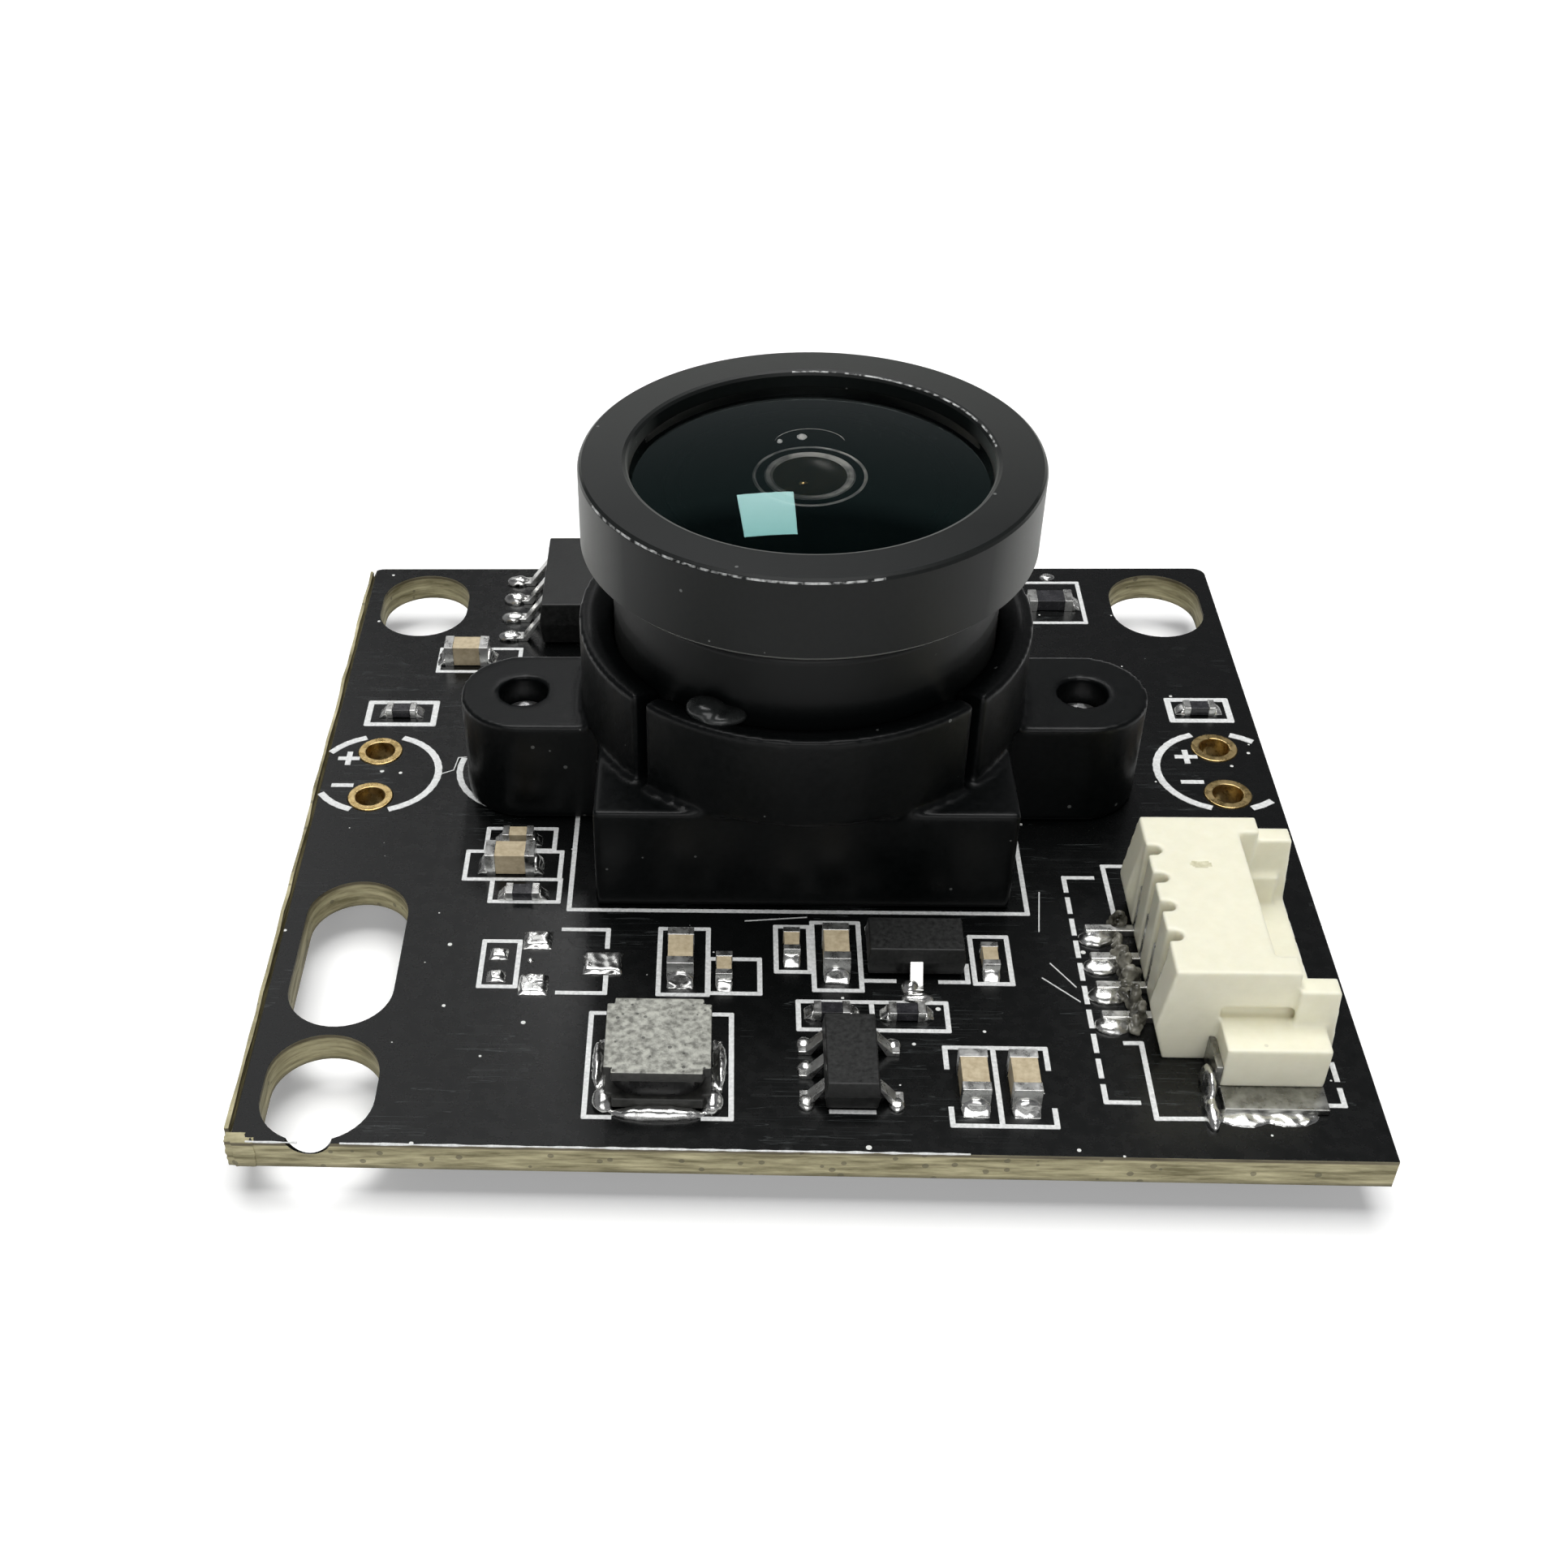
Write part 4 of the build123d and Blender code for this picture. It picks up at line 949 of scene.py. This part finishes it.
profile = profile + barrel["groove"] + barrel["head"] + barrel["mouth"] + barrel["rear"]
axis = (lensX, lensY, 0)
lensBarrel = turnRing("lensBarrel", axis, profile, 160, True)
lensBarrel.data.materials.append(anodisedMaterial)


def awayFromAxis(centre):
    return math.hypot(centre.x - lensX, centre.y - lensY) / mm


pickFaces(
    lensBarrel, blackMaterial, lambda centre, normal: awayFromAxis(centre) < 5.4 and centre.z < 14.1 * mm
)
smoothByAngle(lensBarrel, 20)
for edge in lensBarrel.data.edges:  # the thread is worn soft, the head stays crisp
    if all(lensBarrel.data.vertices[corner].co.z < 11.6 * mm for corner in edge.vertices):
        edge.use_edge_sharp = False
finishPiece(lensBarrel, "barrel_metal", "lens_barrel")

# Front glass: a shallow dome over a thick rim, with a shallow hollow behind
glass = {"radius": 5.37, "rim": 13.83, "apex": 14.28, "foot": 12.79, "hollow": (4.6, 13.06), "steps": 14}
bow = (glass["radius"] ** 2 + (glass["apex"] - glass["rim"]) ** 2) / (2 * (glass["apex"] - glass["rim"]))
profile = [glass["hollow"], (4.9, glass["foot"]), (glass["radius"], glass["foot"])]
for step in range(glass["steps"]):
    radius = glass["radius"] * (1 - step / glass["steps"])
    profile.append((radius, glass["apex"] - bow + math.sqrt(bow**2 - radius**2)))
profile.append((0.1, glass["apex"]))
frontGlass = turnRing("frontGlass", axis, profile, 128)
frontGlass.data.materials.append(glassMaterial)
pickFaces(frontGlass, rearGlassMaterial, lambda centre, normal: centre.z < 13.4 * mm)
smoothByAngle(frontGlass, 20)
finishPiece(frontGlass, "lens_glass", "front_element")

# Spacer: a blackened ring between the barrel's shelf and the second element
spacer = [(4.24, 12.3), (4.24, 12.76), (3.9, 12.76), (3.7, 12.3)]
spacerRing = turnRing("spacerRing", axis, spacer, 96, True)
spacerRing.data.materials.append(blackMaterial)
smoothByAngle(spacerRing, 30)
finishPiece(spacerRing, "blackened_metal", "element_spacer")

# Second element: a blackened dome round a fine light line, a ring with a painted highlight and a small glass
# painted dark as the shade inside
optic = {
    "dome": [(4.22, 11.45), (4.22, 12.28), (3.6, 12.55), (2.7, 12.85), (1.67, 12.99)],
    "line": [(1.62, 13.02), (1.585, 13.02), (1.57, 12.98)],
    "ring": [(1.33, 12.98), (1.29, 13.03), (1.16, 13.03), (1.08, 12.97)],
    "glass": [(0.9, 12.95), (0.6, 12.94), (0.3, 12.935), (0.05, 12.935)],
}
inner = optic["dome"] + optic["line"] + optic["ring"] + optic["glass"]
secondOptic = turnRing("secondOptic", axis, inner, 96)
secondOptic.data.materials.append(blackMaterial)
pickFaces(
    secondOptic,
    ringHighlightMaterial,
    lambda centre, normal: centre.z > 13.0 * mm and 1.1 < awayFromAxis(centre) < 1.7,
)
pickFaces(secondOptic, shadedOpticMaterial, lambda centre, normal: awayFromAxis(centre) < 1.1)
smoothByAngle(secondOptic, 30)

# Painted reflections in the inner glass: small pale lumps as glints and a gold lump as a brown gleam
glints = {  # x and y from the axis, half length, half width
    "bright": ((-0.18, 2.28, 0.16, 0.2), (-0.84, 2.02, 0.08, 0.14)),
    "brown": ((-0.2, -0.42, 0.14, 0.1),),
    "z": 12.97,
    "tall": 0.06,
}
dome = {"radius": 1.05, "line": 0.016, "x": 0.05, "y": 1.9, "z": 12.96, "squash": 0.86, "cut": 2.1}
for name, material in (("bright", silkAndGlintMaterial), ("brown", goldAndGleamMaterial)):
    spots = []
    for x, y, across, deep in glints[name]:
        bpy.ops.mesh.primitive_uv_sphere_add(
            segments=12,
            ring_count=8,
            radius=1,
            location=(lensX + x * mm, lensY + y * mm, glints["z"] * mm),
            scale=(across * mm, deep * mm, glints["tall"] * mm),
        )
        spots.append(bpy.context.object)
    if name == "bright":  # painted highlight: the light outline of a small dome behind the ring, as a thin bent rod
        bpy.ops.mesh.primitive_torus_add(
            major_radius=dome["radius"] * mm,
            minor_radius=dome["line"] * mm,
            major_segments=64,
            minor_segments=6,
            location=(lensX + dome["x"] * mm, lensY + dome["y"] * mm, dome["z"] * mm),
        )
        outline = bpy.context.object
        outline.scale = (1, dome["squash"], 1)
        bakePlace(outline)
        bpy.ops.object.mode_set(mode="EDIT")
        bpy.ops.mesh.select_all(action="SELECT")
        bpy.ops.mesh.bisect(
            plane_co=(0, lensY + dome["cut"] * mm, 0), plane_no=(0, 1, 0), clear_inner=True, use_fill=True
        )
        bpy.ops.object.mode_set(mode="OBJECT")
        outline.data.materials.append(ringHighlightMaterial)
        secondOptic = joinPieces("secondOptic", [secondOptic, outline])
    spot = joinPieces(name + "Glints", spots)
    bakePlace(spot)
    meltShape(spot, 0.016, 2, 0.02, 9.0, 6)
    spot.data.materials.append(material)
    secondOptic = joinPieces("secondOptic", [secondOptic, spot])
finishPiece(secondOptic, "lens_glass", "second_element")
print("lens done")

# Solder: the frame's solder with lumps at every foot, melted into one skin
solder = {
    "voxel": 0.05,
    "rounds": 8,
    "lump": 0.03,
    "lumpScale": 4.0,
    "feetBelow": 2.45,  # height under which a lead counts as its foot
    "reach": {"memory_chip_leads": 0.5, "converter_leads": 0.3, "regulator_leads": 0.3},
    "chipReach": 0.2,
    "chipShare": 0.62,  # how far up a chip part's end the solder climbs
}
lumps = [takeShape("solder_joints", "solderLumps")]
for node, reach in solder["reach"].items():
    boxLow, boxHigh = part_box(node)
    centre = ((boxLow[0] + boxHigh[0]) / 2 / mm, (boxLow[1] + boxHigh[1]) / 2 / mm)
    for (x0, x1), (y0, y1), _ in footBoxes(node, solder["feetBelow"]):
        x, y = (x0 + x1) / 2, (y0 + y1) / 2
        if x1 - x0 > y1 - y0:  # the lead runs along x
            tip = x1 if x > centre[0] else x0
            lumps.append(addLump(tip, y, reach, (y1 - y0) / 2 + 0.09, 0.24 + 0.1 * random.random()))
        else:
            tip = y1 if y > centre[1] else y0
            lumps.append(addLump(x, tip, (x1 - x0) / 2 + 0.07, 0.3, 0.2 + 0.06 * random.random()))
for node in chipNodes:
    low, high = [corner / mm for corner in map(Vector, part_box(node))]
    if node == "bypass_capacitors" or low.z < boardTop / mm - 0.1:  # below the board
        continue
    along = 0 if high.x - low.x > high.y - low.y else 1
    tall = (high.z - low.z) * solder["chipShare"]
    for end in (low[along], high[along]):
        place = [(low.x + high.x) / 2, (low.y + high.y) / 2]
        place[along] = end
        size = [solder["chipReach"], solder["chipReach"]]
        size[1 - along] = (high[1 - along] - low[1 - along]) / 2 + 0.03
        lumps.append(addLump(*place, *size, tall))
solderBlobs = [  # x, y, half length, half width, height
    (9.1, -6.22, 0.56, 0.4, 0.24),
    (9.1, -7.47, 0.56, 0.4, 0.22),
    (9.1, -8.72, 0.58, 0.4, 0.24),
    (9.1, -9.97, 0.56, 0.4, 0.24),
    (11.35, -12.4, 0.2, 0.7, 0.75),
    (11.3, -13.3, 0.24, 0.75, 0.35),
    (12.2, -13.45, 0.8, 0.42, 0.1),
    (13.4, -13.4, 0.85, 0.42, 0.08),
    (-3.97, -13.72, 1.35, 0.26, 0.3),
    (-5.5, -13.25, 0.33, 0.5, 0.42),
    (-2.45, -13.25, 0.33, 0.5, 0.42),
    (-5.75, -11.8, 0.16, 0.9, 0.3),
    (-2.2, -11.8, 0.16, 0.9, 0.3),
    (10.04, 14.34, 0.3, 0.25, 0.12),
    (-8.01, -7.46, 0.12, 0.12, 0.1),
    (3.55, -8.95, 0.5, 0.22, 0.2),
]
for x, y, across, deep, tall in solderBlobs:
    lumps.append(addLump(x, y, across, deep, tall))
solderLumps = joinPieces("solderLumps", lumps)
meltShape(solderLumps, solder["voxel"], solder["rounds"], solder["lump"], solder["lumpScale"], 3)
solderLumps.data.materials.append(solderMaterial)
finishPiece(solderLumps, "solder", "solder_joints")

# Messy flux between the contacts' solder and the housing
flux = {"x": 9.62, "y": -5.7, "step": 0.34, "count": 14, "deep": 0.22}
drops = []
for index in range(flux["count"]):
    x = flux["x"] + 0.22 * random.random()
    across = 0.16 + 0.2 * random.random()
    tall = 0.2 + 0.7 * random.random()
    drops.append(addLump(x, flux["y"] - flux["step"] * index, across, flux["deep"], tall))
fluxResidue = joinPieces("fluxResidue", drops)
meltShape(fluxResidue, solder["voxel"], 4, 0.1, 5.0, 9)
fluxResidue.data.materials.append(fluxMaterial)
finishPiece(fluxResidue, "solder")

# Solder on the pads that hold no part
padSolder = takeShape("bare_pad_solder", "padSolder")
meltShape(padSolder, solder["voxel"], 6, solder["lump"], 5.0, 5)
padSolder.data.materials.append(solderMaterial)
finishPiece(padSolder, "solder", "bare_pad_solder")

# Smear of set glue between the collar and the barrel
glue = {"deep": 0.5, "spots": ((-2.75, -4.08, 9.2, 0.6, 0.34), (-2.3, -4.25, 9.05, 0.75, 0.24))}
drops = []
for x, y, height, across, tall in glue["spots"]:
    bpy.ops.mesh.primitive_ico_sphere_add(
        subdivisions=3,
        radius=1,
        location=(x * mm, y * mm, height * mm),
        scale=(across * mm, glue["deep"] * mm, tall * mm),
    )
    drops.append(bpy.context.object)
glueDrop = joinPieces("glueDrop", drops)
bakePlace(glueDrop)
meltShape(glueDrop, solder["voxel"], 20, 0.05, 1.6, 2)
glueDrop.data.materials.append(glueMaterial)
finishPiece(glueDrop, "glue", "adhesive_drop")
print("solder done", len(solderLumps.data.polygons))

# Stage
stage = {
    "floorSize": 4.0,
    "floorColour": (0.93, 0.93, 0.925),
    "glow": (0.05, 0.25, 0.2, 1.0),  # own light for the camera alone: near, far and the strength at each
    "sky": (0.06, 0.062, 0.065),
    "walls": (0.17, 0.17, 0.175),
}
selectNone()
bpy.ops.mesh.primitive_plane_add(size=stage["floorSize"], location=(0, 0, 0))
floor = bpy.context.object
floor.name = "tableTop"
floorMaterial = bpy.data.materials.new("paleTable")
floorMaterial.use_nodes = True
tree = floorMaterial.node_tree
shader = tree.nodes["Principled BSDF"]
shader.inputs["Base Color"].default_value = (*stage["floorColour"], 1)
shader.inputs["Roughness"].default_value = 0.8
shader.inputs["Specular IOR Level"].default_value = 0.1
path = tree.nodes.new("ShaderNodeLightPath")
spot = tree.nodes.new("ShaderNodeTexCoord").outputs["Object"]
reach = addNode(tree, "ShaderNodeVectorMath", {"operation": "LENGTH"}, i0=spot).outputs["Value"]
far = ramp(tree, reach, *stage["glow"])
seen = maths(tree, "MULTIPLY", path.outputs["Is Camera Ray"], far)
feed(tree, shader, "Emission Strength", seen)
shader.inputs["Emission Color"].default_value = (1, 1, 1, 1)
floor.data.materials.append(floorMaterial)

world = bpy.data.worlds.new("studio")
bpy.context.scene.world = world
world.use_nodes = True
tree = world.node_tree
ground = tree.nodes["Background"]
path = tree.nodes.new("ShaderNodeLightPath")
way = tree.nodes.new("ShaderNodeTexCoord").outputs["Generated"]
rise = addNode(tree, "ShaderNodeSeparateXYZ", {}, Vector=way).outputs[2]
room = blend(tree, ramp(tree, rise, 0.6, 0.66), stage["walls"], stage["sky"])
tree.links.new(blend(tree, path.outputs["Is Camera Ray"], room, (1, 1, 1)), ground.inputs["Color"])
ground.inputs["Strength"].default_value = 1.0


# A soft lamp that faces the lens from an azimuth (from +Y towards +X) and an elevation
def addLamp(name, azimuth, elevation, distance, width, height, radiance):
    light = bpy.data.lights.new(name, "AREA")
    light.shape = "RECTANGLE"
    light.size = width
    light.size_y = height
    light.energy = radiance * math.pi * width * height
    lamp = bpy.data.objects.new(name, light)
    bpy.context.collection.objects.link(lamp)
    turn, rise = math.radians(azimuth), math.radians(elevation)
    towards = Vector((math.sin(turn) * math.cos(rise), math.cos(turn) * math.cos(rise), math.sin(rise)))
    lamp.location = Vector((lensX, lensY, 0.012)) + towards * distance
    lamp.rotation_euler = towards.to_track_quat("Z", "Y").to_euler()
    return lamp


lamps = {  # azimuth, elevation, distance, width, height, radiance
    "topLamp": (0, 84, 0.3, 0.24, 0.24, 5.4),
    "windowCard": (-2.1, 41.0, 0.4, 0.035, 0.061, 10.0),  # seen as the pale card in the front glass
    "leftLamp": (-26, 38, 0.4, 0.12, 0.2, 0.95),
    "frontLamp": (180, 28, 0.4, 0.3, 0.2, 2.5),
}
for name, values in lamps.items():
    addLamp(name, *values)

view = {  # degrees, millimetres
    "elevation": 41.67,
    "yaw": -4.75,
    "roll": 2.57,
    "place": (-2.2615, -50.887, 42.568),
    "lens": 44.89,
    "sensor": 36.0,
    "shift": (0.1178, 0.0884),
}
cameraData = bpy.data.cameras.new("photoView")
cameraData.lens = view["lens"]
cameraData.sensor_width = view["sensor"]
cameraData.shift_x, cameraData.shift_y = view["shift"]
cameraData.clip_start = 1 * mm
camera = bpy.data.objects.new("photoView", cameraData)
bpy.context.collection.objects.link(camera)
camera.location = Vector(view["place"]) * mm
camera.rotation_euler = (
    Matrix.Rotation(math.radians(-view["yaw"]), 3, "Z")
    @ Matrix.Rotation(math.radians(90 - view["elevation"]), 3, "X")
    @ Matrix.Rotation(math.radians(-view["roll"]), 3, "Z")
).to_euler()
bpy.context.scene.camera = camera
bpy.context.scene.view_settings.view_transform = "Standard"

print("stage and camera done")
